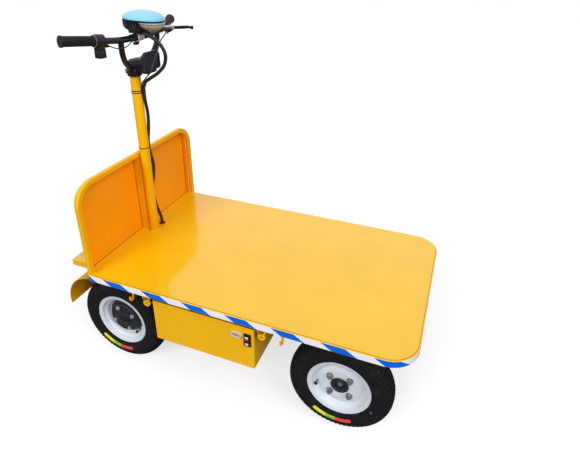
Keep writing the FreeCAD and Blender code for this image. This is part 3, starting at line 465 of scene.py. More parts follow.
for _, word, body, place in WHEELS[:2]:
    nuts = Shape()
    for k in range(4):
        at = shifted(place, *polar(BOLT_CIRCLE, FRONT_NUT_TURN + 90 * k))
        nuts.lathe([(21.2, 12.4), (22.8, 12.4), (23.2, 11.8)], at, 24)
        hexagon(nuts, at, 23.2, 9.6, 10.8, k * 0.21)
        nuts.lathe([(32.6, 5.2), (38, 5.2), (38.8, 4.4)], at, 16)
    nuts.lathe([(16.2, 9.5), (18, 9.5), (18.3, 9)], place, 24)
    hexagon(nuts, place, 18.3, 4.6, 6.2, 0.3)
    nuts.piece("front_nuts_" + word, body, "zinc_steel", nut_steel, sharp=25)
    Shape().spin([(18.2, 12.4), (18.4, 29), (21.5, 30.2), (21.6, 33), (23.4, 33), (25, 31.6), (25.6, 28.6),
                  (24.8, 26.4), (22.6, 25.6), (21.6, 24), (21.4, 21.6), (22.2, 20.6), (21.8, 18.6),
                  (19.4, 17.8), (18.8, 15.6), (18.8, 12.4)], place, 64).piece(
        "front_hub_cap_" + word, body, "black_metal", cover_black, sharp=50)
    Shape().lathe([(43.6, 6), (45.6, 5.6), (46.8, 4.2), (47.3, 2.2), (47.4, 0.8)],
                  shifted(place, *polar(133.5, -25.6)), 20).piece(
        "front_nub_" + word, body, "tyre", nub_rubber, sharp=60)

RIDGE_FOOT = 21.6
COVER = [(-34, 12.4), (-34, 64), (-31, 68), (-24, 74), (-20, 76.2), (-14, 76.9), (4.6, 76.9),
         (7.4, 76.2), (9.6, 74.6), (10.4, 72.6), (10.6, 68.4), (11.4, 67), (19, 65.4), (21.4, 64.2),
         (22.6, 62), (22.8, 57), (22, 55.8), (21.8, 54), (21.8, 27), (22.4, 25.4), (23.8, 24.4),
         (26.6, 24), (27.8, 22.8), (28, 20.6), (27.2, 19.2), (26.6, 17.4), (26.6, 12.4)]
for _, word, body, place in WHEELS[2:]:
    cover = Shape().spin(COVER, place, 96)
    for k in range(8):
        angle = REAR_BOLT_TURN + 45 * k
        # wide ridges carry the bolts, narrow ones lie between them
        half, top, outer = (8.5, 24.6, 60) if k % 2 == 0 else (2.2, 23.8, 62)
        (cu, cv), (su, sv) = polar(1, angle), polar(1, angle + 90)
        rings = []
        for r, lift in ((23, 0), (24, 0.9), (outer - 2, 0.9), (outer, 0)):
            ridge = RIDGE_FOOT + (top - RIDGE_FOOT) * lift / 0.9
            wide = half if r < 40 else half * 0.9
            rings.append([place(a, cu * r + su * w, cv * r + sv * w)
                          for a, w in ((21, -wide), (21, wide), (ridge, wide - 0.8), (ridge, 0.8 - wide))])
        cover.loft(rings)
    cover.piece(
        "motor_cover_" + word, body, "black_metal", cover_black, replaces=("hub_motor_" + word,), sharp=45)
    bolts = Shape()
    for k in range(4):
        at = shifted(place, *polar(BOLT_CIRCLE, REAR_BOLT_TURN + 90 * k))
        bolts.lathe([(24.4, 9.6), (25.8, 9.6), (26.1, 9.2)], at, 24)
        hexagon(bolts, at, 26.1, 5, 7.6, k * 0.17)
        bolts.lathe([(31, 4.6), (33, 4.4), (34.4, 3.2), (34.9, 1.2)], at, 16)
    bolts.piece("rear_bolts_" + word, body, "zinc_steel", sharp=25)
    Shape().lathe([(26, 16.6), (28.6, 16.4), (29.6, 15), (29.8, 13.4), (29.4, 12.6), (29.6, 1)],
                  place, 40).piece("motor_cap_" + word, body, "black_metal", sharp=40)

# angle of the valve and its (outward, radius) points; middle, half spread and radius of the label
VALVES = {"front": (-170, [(13, 87.5), (20, 87), (28, 86), (35, 85)]),
          "rear": (-37, [(10, 85), (18, 83), (27, 80), (34, 77)])}
LABELS = {"front": (-97, 30, 141.5), "rear": (-104.5, 31.5, 139.5)}
LABEL_HALF = 7.0
bands = Surface("tyre_label", (0.8, 0.75, 0.02), 0.45)
split = bands.node("ShaderNodeSeparateXYZ")
bands.link(bands.node("ShaderNodeTexCoord").outputs["Generated"], split.inputs[0])
bands.tint(bands.ramp(split.outputs[0], 0.30, 0.36), linear(120, 196, 60))
bands.tint(bands.ramp(split.outputs[0], 0.55, 0.58), linear(222, 62, 66))
bands.tint(bands.ramp(bands.noise(260, 3), 0.56, 0.7, 0, 0.25), (0.75, 0.72, 0.6))
bands.bump(bands.noise(300), 0.1, 0.0003)
for end, word, body, place in WHEELS:
    tag = "%s_%s" % (end, word)
    turn, stem = VALVES[end]
    points = [place(a, *polar(r, turn)) for a, r in stem]
    Shape().tube(points[:2], [7.4 * MM, 4.8 * MM], 20).piece("valve_seat_" + tag, body, "black_rubber")
    Shape().tube(points[:3], [4.0 * MM] * 3, 16).piece("valve_stem_" + tag, body, "zinc_steel")
    cap = [points[2].lerp(points[3], share) for share in (0, 0.08, 0.9, 1)]
    Shape().tube(cap, [5.0 * MM, 6.0 * MM, 5.8 * MM, 4.6 * MM], 12).piece(
        "valve_cap_" + tag, body, "black_plastic", sharp=50)
    middle, spread, radius = LABELS[end]
    rings = []
    for i in range(49):
        t = -1 + 2 * i / 48
        edge = (1 - abs(t)) * math.radians(spread) * radius
        half = LABEL_HALF * math.sqrt(max(0.04, 1 - max(0, 1 - edge / LABEL_HALF) ** 2))
        row = []
        for lift, way in ((0.5, 1), (-0.6, -1)):
            for share in (-1, -0.5, 0, 0.5, 1):
                r = radius + share * half * way
                row.append(place(along(SIDEWALL, r) + lift, *polar(r, middle + t * spread)))
        rings.append(row)
    Shape().loft(rings).piece("label_" + tag, body, "tyre", bands.material, sharp=60)


# ------------------------ hazard tape round the deck's rail
RAIL_LOW, RAIL_HIGH = (Vector(corner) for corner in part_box("deck_frame"))
CORNER = 100 * MM
TAPE_LIFT = 0.2 * MM
STRAIGHT = RAIL_HIGH.x - RAIL_LOW.x - CORNER
ARC = CORNER * math.pi / 2
ACROSS = RAIL_HIGH.y - RAIL_LOW.y - 2 * CORNER
FAR_SIDE = STRAIGHT + 2 * ARC + ACROSS
TAPE_END = FAR_SIDE + STRAIGHT


def rail_point(s, lift):
    """Point on the rail's outer face, s metres along it from the right back corner."""
    if s <= STRAIGHT:
        return RAIL_LOW.x + s, RAIL_LOW.y - lift
    if s >= FAR_SIDE:
        return RAIL_HIGH.x - CORNER - (s - FAR_SIDE), RAIL_HIGH.y + lift
    if STRAIGHT + ARC < s < FAR_SIDE - ARC:
        return RAIL_HIGH.x + lift, RAIL_LOW.y + CORNER + s - STRAIGHT - ARC
    if s <= STRAIGHT + ARC:
        turn, y = (s - STRAIGHT) / CORNER - math.pi / 2, RAIL_LOW.y + CORNER
    else:
        turn, y = (s - FAR_SIDE + ARC) / CORNER, RAIL_HIGH.y - CORNER
    u, v = circle_point(CORNER + lift, turn)
    return RAIL_HIGH.x - CORNER + u, y + v


TAPE_TOP = RAIL_HIGH.z - 1.2 * MM
TAPE_FOOT = RAIL_LOW.z + 1.2 * MM
PERIOD = 168.7 * MM
BLUE = 81.0 * MM
FIRST_BLUE = 66.0 * MM
SLANT = 37.0 * MM
TAPE_STEPS = 14


def tape_field(shape, start, stop):
    """One slanted field; start and stop are along the upper edge, and the lower edge runs later."""
    rings = []
    for i in range(TAPE_STEPS + 1):
        now = start + (stop - start) * i / TAPE_STEPS
        upper, lower = (min(max(s, 0), TAPE_END) for s in (now, now + SLANT))
        rows = [(upper + (lower - upper) * k / 6, TAPE_TOP + (TAPE_FOOT - TAPE_TOP) * k / 6)
                for k in range(7)]
        rings.append([(*rail_point(s, TAPE_LIFT), z) for s, z in rows]
                     + [(*rail_point(s, -TAPE_LIFT), z) for s, z in reversed(rows)])
    shape.loft(rings)


blue_fields, white_fields = Shape(), Shape()
tape_field(blue_fields, -SLANT + 0.5 * MM, 2 * MM)
tape_field(white_fields, 2 * MM, FIRST_BLUE)
place_now = FIRST_BLUE
while place_now < TAPE_END - 60 * MM:
    tape_field(blue_fields, place_now, min(place_now + BLUE, TAPE_END))
    if place_now + BLUE < TAPE_END:
        tape_field(white_fields, place_now + BLUE, min(place_now + PERIOD, TAPE_END))
    place_now += PERIOD
blue_fields.piece("tape_blue", "chassis", "blue_plastic", tape_blue)
white_fields.piece("tape_white", "chassis", "white_rim", tape_white)


# ------------------------ handlebar group
BAR = in_mm(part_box("bar_sleeve"))[2]
BEND_Y = 105.0
SWEEP = Vector((-70, 200, 23))
SWEEP_LENGTH = SWEEP.length
GRIP_START = SWEEP_LENGTH - 113.0
THROTTLE_START = GRIP_START - 35.0


def bar_place(side):
    """Places (along, forward, up) millimetres on the swept part of the bar, counted from its bend."""
    run = Vector((SWEEP.x, side * SWEEP.y, SWEEP.z)).normalized()
    forward = (Vector((1, 0, 0)) - run * run.x).normalized()
    up = run.cross(forward) * side * -1
    if up.z < 0:
        up.negate()
    start = BAR + Vector((0, side * BEND_Y, 0))

    def place(a, u, v):
        return (start + run * a + forward * u + up * v) * MM

    return place


def about_bar(a, u, v):
    return mm(BAR.x + u, a, BAR.z + v)


def squared(value):
    """Sine or cosine of a ring that is drawn out towards a square."""
    return math.copysign(abs(value) ** 0.7, value)


def oval(x, half_x, half_y, rise, count=96):
    """Oval ring that follows the lower edge of the console's shell, rise above it."""
    points = [(x + half_x * math.cos(t), half_y * math.sin(t)) for t in turns(count)]
    return [mm(px, py, dash_edge(px) + rise) for px, py in points]


_, dash_high, dash_middle = in_mm(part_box("dash_shell"))
DASH_X = dash_middle.x
DASH_TOP = dash_high.z - 0.2
DASH_HALF_X, DASH_HALF_Y = 77.5, 65.5
DASH_EDGE = 1354.5


def dash_edge(x):
    """Height of the shell's lower edge: highest towards the rider, falling to the front."""
    u = max(-1, min(1, (x - DASH_X) / 78))
    return DASH_EDGE - 4.5 * u - 2.0 * u * u


shell = [oval(DASH_X, DASH_HALF_X, DASH_HALF_Y, rise) for rise in (-1, 1)]
for k in range(1, 23):
    t = math.pi / 2 * k / 23
    share, rise = math.cos(t) ** 0.94, 1 + math.sin(t) * (DASH_TOP - DASH_EDGE - 1)
    shell.append(oval(DASH_X, DASH_HALF_X * share, DASH_HALF_Y * share, rise))
Shape().loft(shell).piece("dash_cover", "steering", "blue_plastic", replaces=("dash_shell",), sharp=50)
rim = Shape().loft([oval(DASH_X, DASH_HALF_X + out, DASH_HALF_Y + out, rise)
                    for out, rise in ((-3.5, -8), (0, -5.5), (0.8, -4), (0.8, -1.6), (-0.5, -0.6))])
rim.piece("dash_rim", "steering", "black_plastic", dash_rim_blue, replaces=("dash_housing",), sharp=50)
# black body of the console: a deep box at the rider's end that steps down under the lamp
tub = Shape().slab([(-452, 1353), (-454, 1322), (-441, 1316), (-432, 1308), (-404, 1305.6),
                    (-392, 1309), (-388, 1318), (-388, 1349)], -41, 41)
tub.slab([(-469, 1353), (-471.5, 1348), (-470.5, 1327), (-464, 1321), (-446, 1320), (-446, 1353)], -27, 27)
tub.piece("dash_tub", "steering", "black_plastic", sharp=30, bevel=2.4)
for word, side in reversed(SIDES):
    y = side * 41.0
    plates = Shape().slab([(-449, 1348), (-450, 1327), (-440, 1322), (-434, 1330), (-436, 1348)],
                          y, y + side * 2.6)
    plates.slab([(-428, 1342), (-426, 1313), (-398, 1311), (-396, 1340)], y, y + side * 3.4)
    plates.piece("dash_cheek_" + word, "steering", "black_plastic", sharp=30, bevel=1.2)
    screws = Shape()
    for x, z in ((-443, 1335), (-412, 1326)):
        screws.lathe([(2.2, 3.4), (4.2, 3.2), (4.9, 2.2), (5.1, 0.7)], along_y(x, y, z, side), 14)
    screws.piece("dash_screws_" + word, "steering", "dark_steel", sharp=50)

# lamp: a bowl under the front of the console, in a bright rim; the bowl's tan-white colour is a painted
# reflection of the lamp's reflector
lamp_x = in_mm(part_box("headlight"))[2].x
LAMP_HALF_X, LAMP_HALF_Y = 43.5, 49.5
bowl = []
for k in range(15):
    t = math.pi / 2 * k / 15
    share = math.cos(t)
    bowl.append(oval(lamp_x, LAMP_HALF_X * share, LAMP_HALF_Y * share, -9.0 - math.sin(t) * 31, 72))
Shape().loft(bowl).piece("lamp_bowl", "steering", "lamp_lens", replaces=("headlight",), sharp=20)
Shape().loft([oval(lamp_x, LAMP_HALF_X + out, LAMP_HALF_Y + out, rise, 72)
              for out, rise in ((2, -7.6), (2.5, -9), (2.1, -12.6), (-0.5, -13.6))]).piece(
    "lamp_bezel", "steering", "zinc_steel", sharp=50)

# strap round the bar's sleeve, its white raised with painted light that lifts it out of the console's shade,
# with its tightening lug and bolt
strap = Shape().spin([(-25, 13.2), (-25, 15.4), (-24.2, 16.2), (-11, 16.2), (-10.2, 15.4), (-10.2, 13.2)],
                     about_bar, 48)
strap.spin([(-8.8, 13.2), (-8.8, 15), (-8.2, 15.5), (8.2, 15.5), (8.8, 15), (8.8, 13.2)], about_bar, 48)
strap.piece("dash_strap", "steering", "white_rim", strap_painted_light, replaces=("dash_clip",), sharp=40)
lug = Shape().slab([(-438, 1272), (-436, 1263), (-422, 1262), (-418, 1274)], -24.5, -10.8)
lug.piece("strap_lug", "steering", "black_plastic", sharp=30, bevel=1.4)
at = along_y(-429, 0, 1267.5)
bolt = Shape().lathe([(-30.5, 4.6), (-26.6, 5), (-24.4, 5)], at, 6)
bolt.lathe([(-24.4, 2.6), (-6, 2.6), (-5, 2)], at, 14)
bolt.piece("strap_bolt", "steering", "dark_steel", sharp=30)

# ribbed rubber sleeve on the middle of the bar
SLEEVE_END = 50.0
rows = []
for k in range(26):
    a = -SLEEVE_END + 4.0 * k
    rows += [(a, 12.2), (a + 0.5, 13), (a + 2.9, 13), (a + 3.4, 12.2)]
rows = [(-SLEEVE_END, 11.1)] + [row for row in rows if row[0] <= SLEEVE_END] + [(SLEEVE_END, 11.1)]
Shape().spin(rows, about_bar, 40).piece(
    "bar_sleeve_ribbed", "steering", "black_rubber", replaces=("bar_sleeve",), sharp=40)

# grips: (along, radius) from the inner end, then from the outer end, and which rings are fluted
GRIP = [(GRIP_START + a, r) for a, r in (
    (0.6, 17.6), (1.2, 18.6), (3.6, 18.6), (5.4, 17.2), (7, 16.6), (30, 16.5), (60, 16.7))]
GRIP += [(SWEEP_LENGTH - a, r) for a, r in (
    (12, 16.9), (9.5, 17.4), (6, 18.9), (2, 19.2), (0.6, 18.6), (0, 17.4), (0, 9), (1.6, 8), (1.8, 2))]
FLUTED = range(4, 8)
FLUTE_DEPTH = 0.75
GRIP_STEPS = 112
for word, side in SIDES:
    place = bar_place(side)
    rings = []
    for i, (a, r) in enumerate(GRIP):
        groove = r - FLUTE_DEPTH if i in FLUTED else r
        radii = [r if k % 4 else groove for k in range(GRIP_STEPS)]
        rings.append([place(a, *circle_point(radius, t)) for radius, t in zip(radii, turns(GRIP_STEPS))])
    Shape().loft(rings).piece("grip_" + word, "steering", "black_rubber",
                              replaces=("grips",) if side < 0 else (), sharp=28)
throttle_bar = bar_place(-1)


def throttle_place(a, u, v):
    return throttle_bar(THROTTLE_START + a, u, v)


throttle = Shape().spin([(0.4, 11.2), (0.4, 20), (1.6, 21.6), (3, 22), (22, 22), (22.6, 21.2), (23.8, 21.2),
                         (24.4, 22), (31.6, 22), (33.4, 21.2), (34, 19.6), (34, 11.2)], throttle_place, 72)
throttle.piece("throttle_housing", "steering", "black_plastic", replaces=("throttle",), sharp=38)
Shape().spin([(34, 19.2), (34.2, 20.8), (35.2, 20.8), (35.4, 19.2)], throttle_place, 72).piece(
    "throttle_ring", "steering", "silver_cast", sharp=40)

# wedge that leads the wire out of the throttle's inner end
base = throttle_place(5, 2, -12)
tip = mm(-437, -150.4, 1278)
flat = (tip - base).normalized().cross(UP).normalized()
rings = []
for share, wide, deep in ((0, 12, 8), (0.3, 11.5, 8), (0.6, 8.5, 7), (0.85, 4.6, 4.6), (1, 3.2, 3.2)):
    middle = base.lerp(tip, share)
    rings.append([middle + (flat * wide * math.cos(t) + UP * deep * math.sin(t)) * MM for t in turns(20)])
Shape().loft(rings).piece("throttle_nub", "steering", "black_plastic", sharp=50)

# switch housing under the throttle in two halves, with a rocker facing the rider
hold = throttle_place(17, 0, 0) / MM
top = hold.z - 15.0


def pillow(x, y, half_x, half_y, z0, z1, corner):
    """Upright block with rounded corners and eased ends."""
    rings = []
    for z, inset in ((z0, 1.8), (z0 + 0.6, 0.7), (z0 + 2, 0), (z1 - 2, 0), (z1 - 0.6, 0.7), (z1, 1.8)):
        ring = []
        for sx, sy, first in ((1, 1, 0), (-1, 1, 90), (-1, -1, 180), (1, -1, 270)):
            for k in range(7):
                t = math.radians(first + 15 * k)
                ring.append(mm(x + sx * (half_x - inset - corner) + corner * math.cos(t),
                               y + sy * (half_y - inset - corner) + corner * math.sin(t), z))
        rings.append(ring)
    return rings


block = Shape().loft(pillow(hold.x, hold.y, 14.5, 14, 1243.2, 1270, 3.5))
block.loft(pillow(hold.x, hold.y, 14, 13.5, 1268.5, top, 3.5))
block.piece("switch_housing", "steering", "black_plastic", replaces=("switch_block",), sharp=38)
rocker = Shape().loft([[mm(hold.x - 14.4 - d, hold.y + w, z) for w, z in
                        ((-6 + e, 1252 + e), (6 - e, 1252 + e), (6 - e, 1266 - e), (-6 + e, 1266 - e))]
                       for d, e in ((0, 0), (2, 0), (2.8, 0.8))])
rocker.piece("switch_rocker", "steering", "grommet_red", sharp=30)

# brake lever's cast mount and the curved blade with its ball end
place = bar_place(1)
centre = place(64, 0, 0) / MM
cast = Shape().spin([(52, 11.2), (52, 15.4), (52.8, 16.2), (75.2, 16.2), (76, 15.4), (76, 11.2)], place, 48)
arm = []
for t, dz, wide, deep in ((0.14, 0.5, 9, 8.5), (0.3, 1.5, 8.5, 8), (0.55, 2.5, 9.5, 7.5),
                          (0.8, 3, 10.5, 7.5), (1, 2.5, 9, 7), (1.06, 2.5, 6, 5)):
    middle = centre + Vector((58 * t, 2 * t, 2 * t + dz))
    arm.append([mm(middle.x, middle.y + wide * squared(math.cos(q)), middle.z + deep * squared(math.sin(q)))
                for q in turns(28)])
cast.loft(arm)
cast.piece("brake_mount", "steering", "silver_cast", replaces=("brake_perch",), sharp=38)
outline = [(centre.x + x, centre.z - z) for x, z in ((12, 6), (20, 15), (34, 16), (50, 8), (54, 3))]
under = Shape().slab(outline, centre.y - 5, centre.y + 7)
under.piece("brake_switch", "steering", "black_plastic", sharp=30, bevel=1.6)
pins = Shape()
for x, y, r in ((centre.x + 46, centre.y + 3, 4.2), (centre.x + 20, centre.y, 2.8)):
    pins.lathe([(8, r), (11.4, r), (12.4, r * 0.8), (12.6, r * 0.3)], along_z(x, y, centre.z), 16)
pins.lathe([(-22, 2.2), (-21.4, 2.8), (-12, 2.8)], along_z(centre.x + 28, centre.y + 1, centre.z), 12)
pins.piece("brake_pins", "steering", "dark_steel", sharp=40)
hinge = Vector((-386.4, 167.1, 1298.9))
path = smooth_path([hinge + Vector(step) for step in (
    (-8, 0, 2), (6, 3, 2), (19, 12, 2), (27, 30, 1), (31, 52, -1), (32, 70, -5), (33, 79, -6.5))], 6)
rings = []
for i, point in enumerate(path):
    t = i / (len(path) - 1)
    ball = 2.2 if t > 0.93 else 0.0
    tall = 5.2 + 1.0 * math.sin(math.pi * min(1, t * 1.3)) + ball
    thick = 3.6 + 0.8 * t + ball
    way = direction_at(path, i)
    across = way.cross(UP).normalized()
    up = across.cross(way).normalized()
    rings.append([(point + across * thick * math.cos(q) + up * tall * math.sin(q)) * MM for q in turns(20)])
Shape().loft(rings).piece(
    "brake_blade", "steering", "black_metal", lever_black, replaces=("brake_lever",), sharp=60)

# clamp collar: pinch bolt behind, and the bracket that carries the horn
bolt = Shape()
for side in (1, -1):
    at = along_y(-494, 0, 1164, side)
    bolt.lathe([(8, 7), (9.4, 7), (9.6, 6.6)], at, 20)
    bolt.lathe([(9.6, 6), (14.6, 6), (15.2, 5.2)], at, 6)
bolt.lathe([(15, 3.4), (19, 3.4), (19.6, 2.6)], along_y(-494, 0, 1164), 14)
bolt.piece("collar_bolt", "steering", "zinc_steel", sharp=30)
bracket = Shape().slab([(-478, 1172), (-478, 1180), (-470, 1183), (-430, 1183), (-416, 1176), (-412, 1166),
                        (-420, 1163), (-438, 1166), (-446, 1172)], -19, 19)
bracket.piece("horn_bracket", "steering", "black_metal", sharp=30, bevel=1.5)


# horn: driver box, flared throat, framed mouth with a recessed face
def horn_ring(x, half, low, high, top_cut, low_cut, middle=0):
    """Upright ring with cut corners at x."""
    right = [(-half + low_cut, low), (-half, low + low_cut), (-half, high - top_cut), (-half + top_cut, high)]
    return [mm(x, middle + y, z) for y, z in right + [(-y, z) for y, z in reversed(right)]]


horn = Shape().loft([horn_ring(*row) for row in (
    (-472.2, 22.5, 1176.5, 1205, 5, 5), (-471, 24, 1175, 1207, 6, 6),
    (-429, 24, 1170, 1215, 7, 6), (-421, 27, 1168, 1218, 8, 6),
    (-396, 44, 1173, 1235, 13, 5, 2), (-394, 47, 1171.5, 1238.5, 14, 5, 3),
    (-383.2, 48.5, 1171.5, 1239.8, 15, 5, 3), (-382.4, 47.8, 1172.2, 1239.2, 15, 5, 3),
    (-382.4, 43.5, 1176, 1235, 13, 4, 3), (-388, 42.5, 1177, 1234, 13, 4, 3))])
horn.piece("horn_flare", "steering", "horn_plastic", replaces=("horn_box",), sharp=25)
slats = Shape()
for k in range(6):
    z = 1182.0 + 9.0 * k
    half = 41.0 if z < 1222 else 41.0 - (z - 1222) * 0.9
    slats.slab([(-388.5, z - 1.8), (-385.4, z - 1.2), (-385.4, z + 1.2), (-388.5, z + 1.8)],
               3 - half, 3 + half)
slats.piece("horn_slats", "steering", "horn_plastic", sharp=30)
foot = Shape().loft(pillow(-401, 2, 14, 29, 1159.8, 1174, 2))
foot.piece("horn_foot", "steering", "black_plastic", sharp=35)


# ------------------------ battery box: socket, switch, lugs
_, sock_high, sock = in_mm(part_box("charge_socket"))
face = sock_high.y


def pill(run, radius, out):
    """Long round-ended ring about the socket, out from the box's side."""
    points = [(shift, polar(radius, first + 180 * k / 13))
              for first, shift in ((-90, run), (90, -run)) for k in range(14)]
    return [mm(sock.x + shift + u, face - out, sock.z + v) for shift, (u, v) in points]


Shape().loft([pill(9, radius, out) for radius, out in (
    (11, 0), (11, 3.6), (10.4, 4.6), (9.2, 5), (8.2, 4.6), (7.6, 2.6))]).piece(
    "socket_plate", "chassis", "grey_plastic", replaces=("charge_socket",), sharp=40)
Shape().loft([pill(7.5, radius, out) for radius, out in ((6.4, 2), (6.2, 3.6), (5.4, 4.2))]).piece(
    "socket_flap", "chassis", "grey_plastic", flap_grey, sharp=40)
switch_low, _, switch = in_mm(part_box("box_switch"))
marks, red_mark = Shape(), Shape()


def plate_mark(shape, z, half_x, half_z):
    """Low pad on the switch's plate, z above its middle."""
    shape.loft([[mm(switch.x + u * (half_x - e), switch_low.y + y, switch.z + z + v * (half_z - e))
                 for u, v in SQUARE] for y, e in ((0.6, 0), (-0.5, 0), (-1, 0.6))])


plate_mark(marks, 15.5, 6, 4.6)
plate_mark(marks, -13, 6, 4.6)
plate_mark(red_mark, 4.6, 7.4, 2.9)
marks.piece("switch_marks", "chassis", "white_rim", sharp=40)
red_mark.piece("switch_lamp", "chassis", "grommet_red", signal_red, sharp=40)

lug_parts, lug_bolts = Shape(), Shape()
lug_low, lug_high, _ = in_mm(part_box("box_lugs"))
LUG_HALF = 17
EYE_DROP = 26
LUG_XS = (lug_low.x + LUG_HALF, lug_high.x - LUG_HALF)
for x in LUG_XS:
    for side in (1, -1):
        y, z = side * lug_high.y, lug_low.z + LUG_HALF
        at = along_y(x, y, z, side)
        lug_bolts.lathe([(-0.4, 9.6), (1.4, 9.6), (1.7, 9.2)], at, 24)
        lug_bolts.lathe([(1.7, 8.2), (6.6, 8.2), (7.2, 7.2)], at, 6, 0.3)
        lug_bolts.lathe([(7, 4), (9.4, 4), (10, 3.2)], at, 16)
        lug_parts.spin([(-10, 5), (-10, 13), (-9, 14.2), (0, 14.2), (1, 13), (1, 5)],
                       along_y(x, y, z - EYE_DROP, side), 40)
        lug_parts.slab([(x + dx, lug_low.z + 10 + dz) for dx, dz in ((-13, 0), (-9, -12), (9, -12), (13, 0))],
                       y - side * 9, y + side * 0.4)
lug_parts.piece("lug_eyes", "chassis", "frame_paint", sharp=35, bevel=0.8)
lug_bolts.piece("lug_bolts", "chassis", "zinc_steel", yellow_bolt, sharp=30)


# ------------------------ painted shadow lines in joints and gaps, and welds
def sweep(shape, path, section):
    """Runs a small (out, up) section along a path of (point, out, up)."""
    shape.loft([[(point + out * a + up * b) * MM for a, b in section] for point, out, up in path])


# painted shadow line round the deck sheet's edge
SHEET_CORNER = 94.0
shadow_lines = Shape()
sheet_low, sheet_high, _ = in_mm(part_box("deck_sheet"))
z = sheet_low.z
edge = [(Vector((sheet_low.x + 1, sheet_low.y, z)), Vector((0, -1, 0)), UP)]
for cy, first in ((sheet_low.y + SHEET_CORNER, -90), (sheet_high.y - SHEET_CORNER, 0)):
    for k in range(25):
        t = math.radians(first + 90 * k / 24)
        way = Vector((math.cos(t), math.sin(t), 0))
        edge.append((Vector((sheet_high.x - SHEET_CORNER, cy, z)) + way * SHEET_CORNER, way, UP))
edge.append((Vector((sheet_low.x + 1, sheet_high.y, z)), Vector((0, 1, 0)), UP))
sweep(shadow_lines, edge, ((-0.2, -0.3), (1.6, -0.3), (1.3, 0.35), (-0.2, 0.5)))

# painted shadow lines round the headboard's panel, down both sides of its stiffener and along its foot
DECK_HALF = 370.0
HEADBOARD_TOP = 832.0
PANEL_INSET = 20.6
PANEL_CORNER = 69.0
PANEL_FOOT = 471
front = in_mm(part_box("headboard_panel"))[0].x + 2.0
toward = Vector((1, 0, 0))
half = DECK_HALF - PANEL_INSET
head = HEADBOARD_TOP - PANEL_INSET
loop = [(Vector((front, -half, PANEL_FOOT)), Vector((0, 1, 0)), toward)]
for cy, first in ((-half + PANEL_CORNER, 180), (half - PANEL_CORNER, 90)):
    for k in range(17):
        t = math.radians(first - 90 * k / 16)
        way = Vector((0, math.cos(t), math.sin(t)))
        loop.append((Vector((front, cy, head - PANEL_CORNER)) + way * PANEL_CORNER, -way, toward))
loop.append((Vector((front, half, PANEL_FOOT)), Vector((0, -1, 0)), toward))
sweep(shadow_lines, loop, ((-0.4, -0.5), (1.9, -0.5), (1.6, 0.6), (-0.4, 1.2)))
for side in (-1, 1):
    line = [(Vector((front, side * 13, h)), Vector((0, side, 0)), toward)
            for h in (PANEL_FOOT, 560, 650, 740, 810)]
    sweep(shadow_lines, line, ((-0.6, -0.5), (1.5, -0.5), (1.2, 0.6), (-0.6, 0.9)))
sill = Shape()
for y0, y1 in ((-349.4, -13.2), (13.2, 349.4)):
    line = [(Vector((front + 0.6, y0 + (y1 - y0) * k / 4, 471.4)), toward, UP) for k in range(5)]
    sweep(shadow_lines, line, ((-0.8, -0.8), (1.4, -0.8), (1, 0.4), (-0.8, 1)))
    sill.slab([(front - 0.4, 468.3), (sheet_low.x - 0.3, 468.3), (sheet_low.x - 0.3, 470),
               (front - 0.4, 471.2)], y0, y1)
sill.piece("headboard_sill", "chassis", "deck_paint", sharp=30)
# the dark brown lines are painted shadow in the joints
shadow_lines.piece("painted_shadow_lines", "chassis", "frame_paint", shadow_line_brown, sharp=60)

# painted shadow: a dark strip round the battery box, for the shade in the gap that shows just under the rail
GAP_SECTION = ((-0.4, 414.6), (0.5, 414.8), (0.5, 419.2), (-0.4, 419.4))
gap_shadows = Shape()
box_low, box_high, _ = in_mm(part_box("battery_box"))
for side in (1, -1):
    gap_shadows.loft([[mm(x, side * (box_high.y + a), h) for a, h in GAP_SECTION]
               for x in (box_low.x + 1, box_high.x - 1)])
for x, out in ((box_low.x, -1), (box_high.x, 1)):
    gap_shadows.loft([[mm(x + out * a, y, h) for a, h in GAP_SECTION] for y in (box_low.y + 1, box_high.y - 1)])
gap_shadows.piece("box_gap_shadow", "chassis", "frame_paint", gap_shadow_dark, sharp=60)


def weld(shape, points, radius, phase):
    """Weld bead: overlapping ripples along a line, which start at phase."""
    line = []
    for a, b in zip(points, points[1:]):
        a, b = Vector(a), Vector(b)
        count = max(2, int((b - a).length / 1.6))
        line += [a.lerp(b, k / count) * MM for k in range(count)]
    line.append(Vector(points[-1]) * MM)
    sizes = [radius * (0.86 + 0.16 * abs(math.sin(1.05 * k + phase)) + 0.05 * math.sin(0.37 * k)) * MM
             for k in range(len(line))]
    sizes[0] = sizes[-1] = radius * 0.5 * MM
    shape.tube(line, sizes, 10)


# round the headboard's posts, its stiffener and the column, and over the box lugs
welds = Shape()
for side in (-1, 1):
    outer, inner = side * (DECK_HALF - 1), side * 350.0
    weld(welds, [(-486.2, outer, 470.2), (-486.2, inner, 470.2), (-504, inner, 470.2)], 2.6, side)
    weld(welds, [(-519.6, -13.4 * side, 470.6), (-487, -13.4 * side, 470.6)], 2.2, 0.4)
weld(welds, [(-486.4, -12, 470.8), (-486.4, 12, 470.8)], 2.2, 0.9)
arc = [math.radians(-142 + 284 * k / 30) for k in range(31)]
weld(welds, [(-466.35 + 21.2 * math.cos(t), 21.2 * math.sin(t), 470.6) for t in arc], 2.6, 0.3)
for x in LUG_XS:
    for side in (1, -1):
        y = side * (lug_high.y + 0.6)
        weld(welds, [(x - 16, y, 441.4), (x + 16, y, 441.4)], 2.2, x)
welds.piece("welds", "chassis", "frame_paint", sharp=60)


# ------------------------ camera, lamps, floor
def sun_lamp(name, direction, strength, spread):
    """Soft directional lamp from a direction, spread degrees wide and unseen in reflections."""
    data = bpy.data.lights.new(name, "SUN")
    data.energy = strength
    data.angle = math.radians(spread)
    ob = bpy.data.objects.new(name, data)
    scene.collection.objects.link(ob)
    ob.location = Vector(direction).normalized() * 4
    ob.rotation_mode = "QUATERNION"
    ob.rotation_quaternion = (-ob.location).to_track_quat("-Z", "Y")
    ob.visible_glossy = False


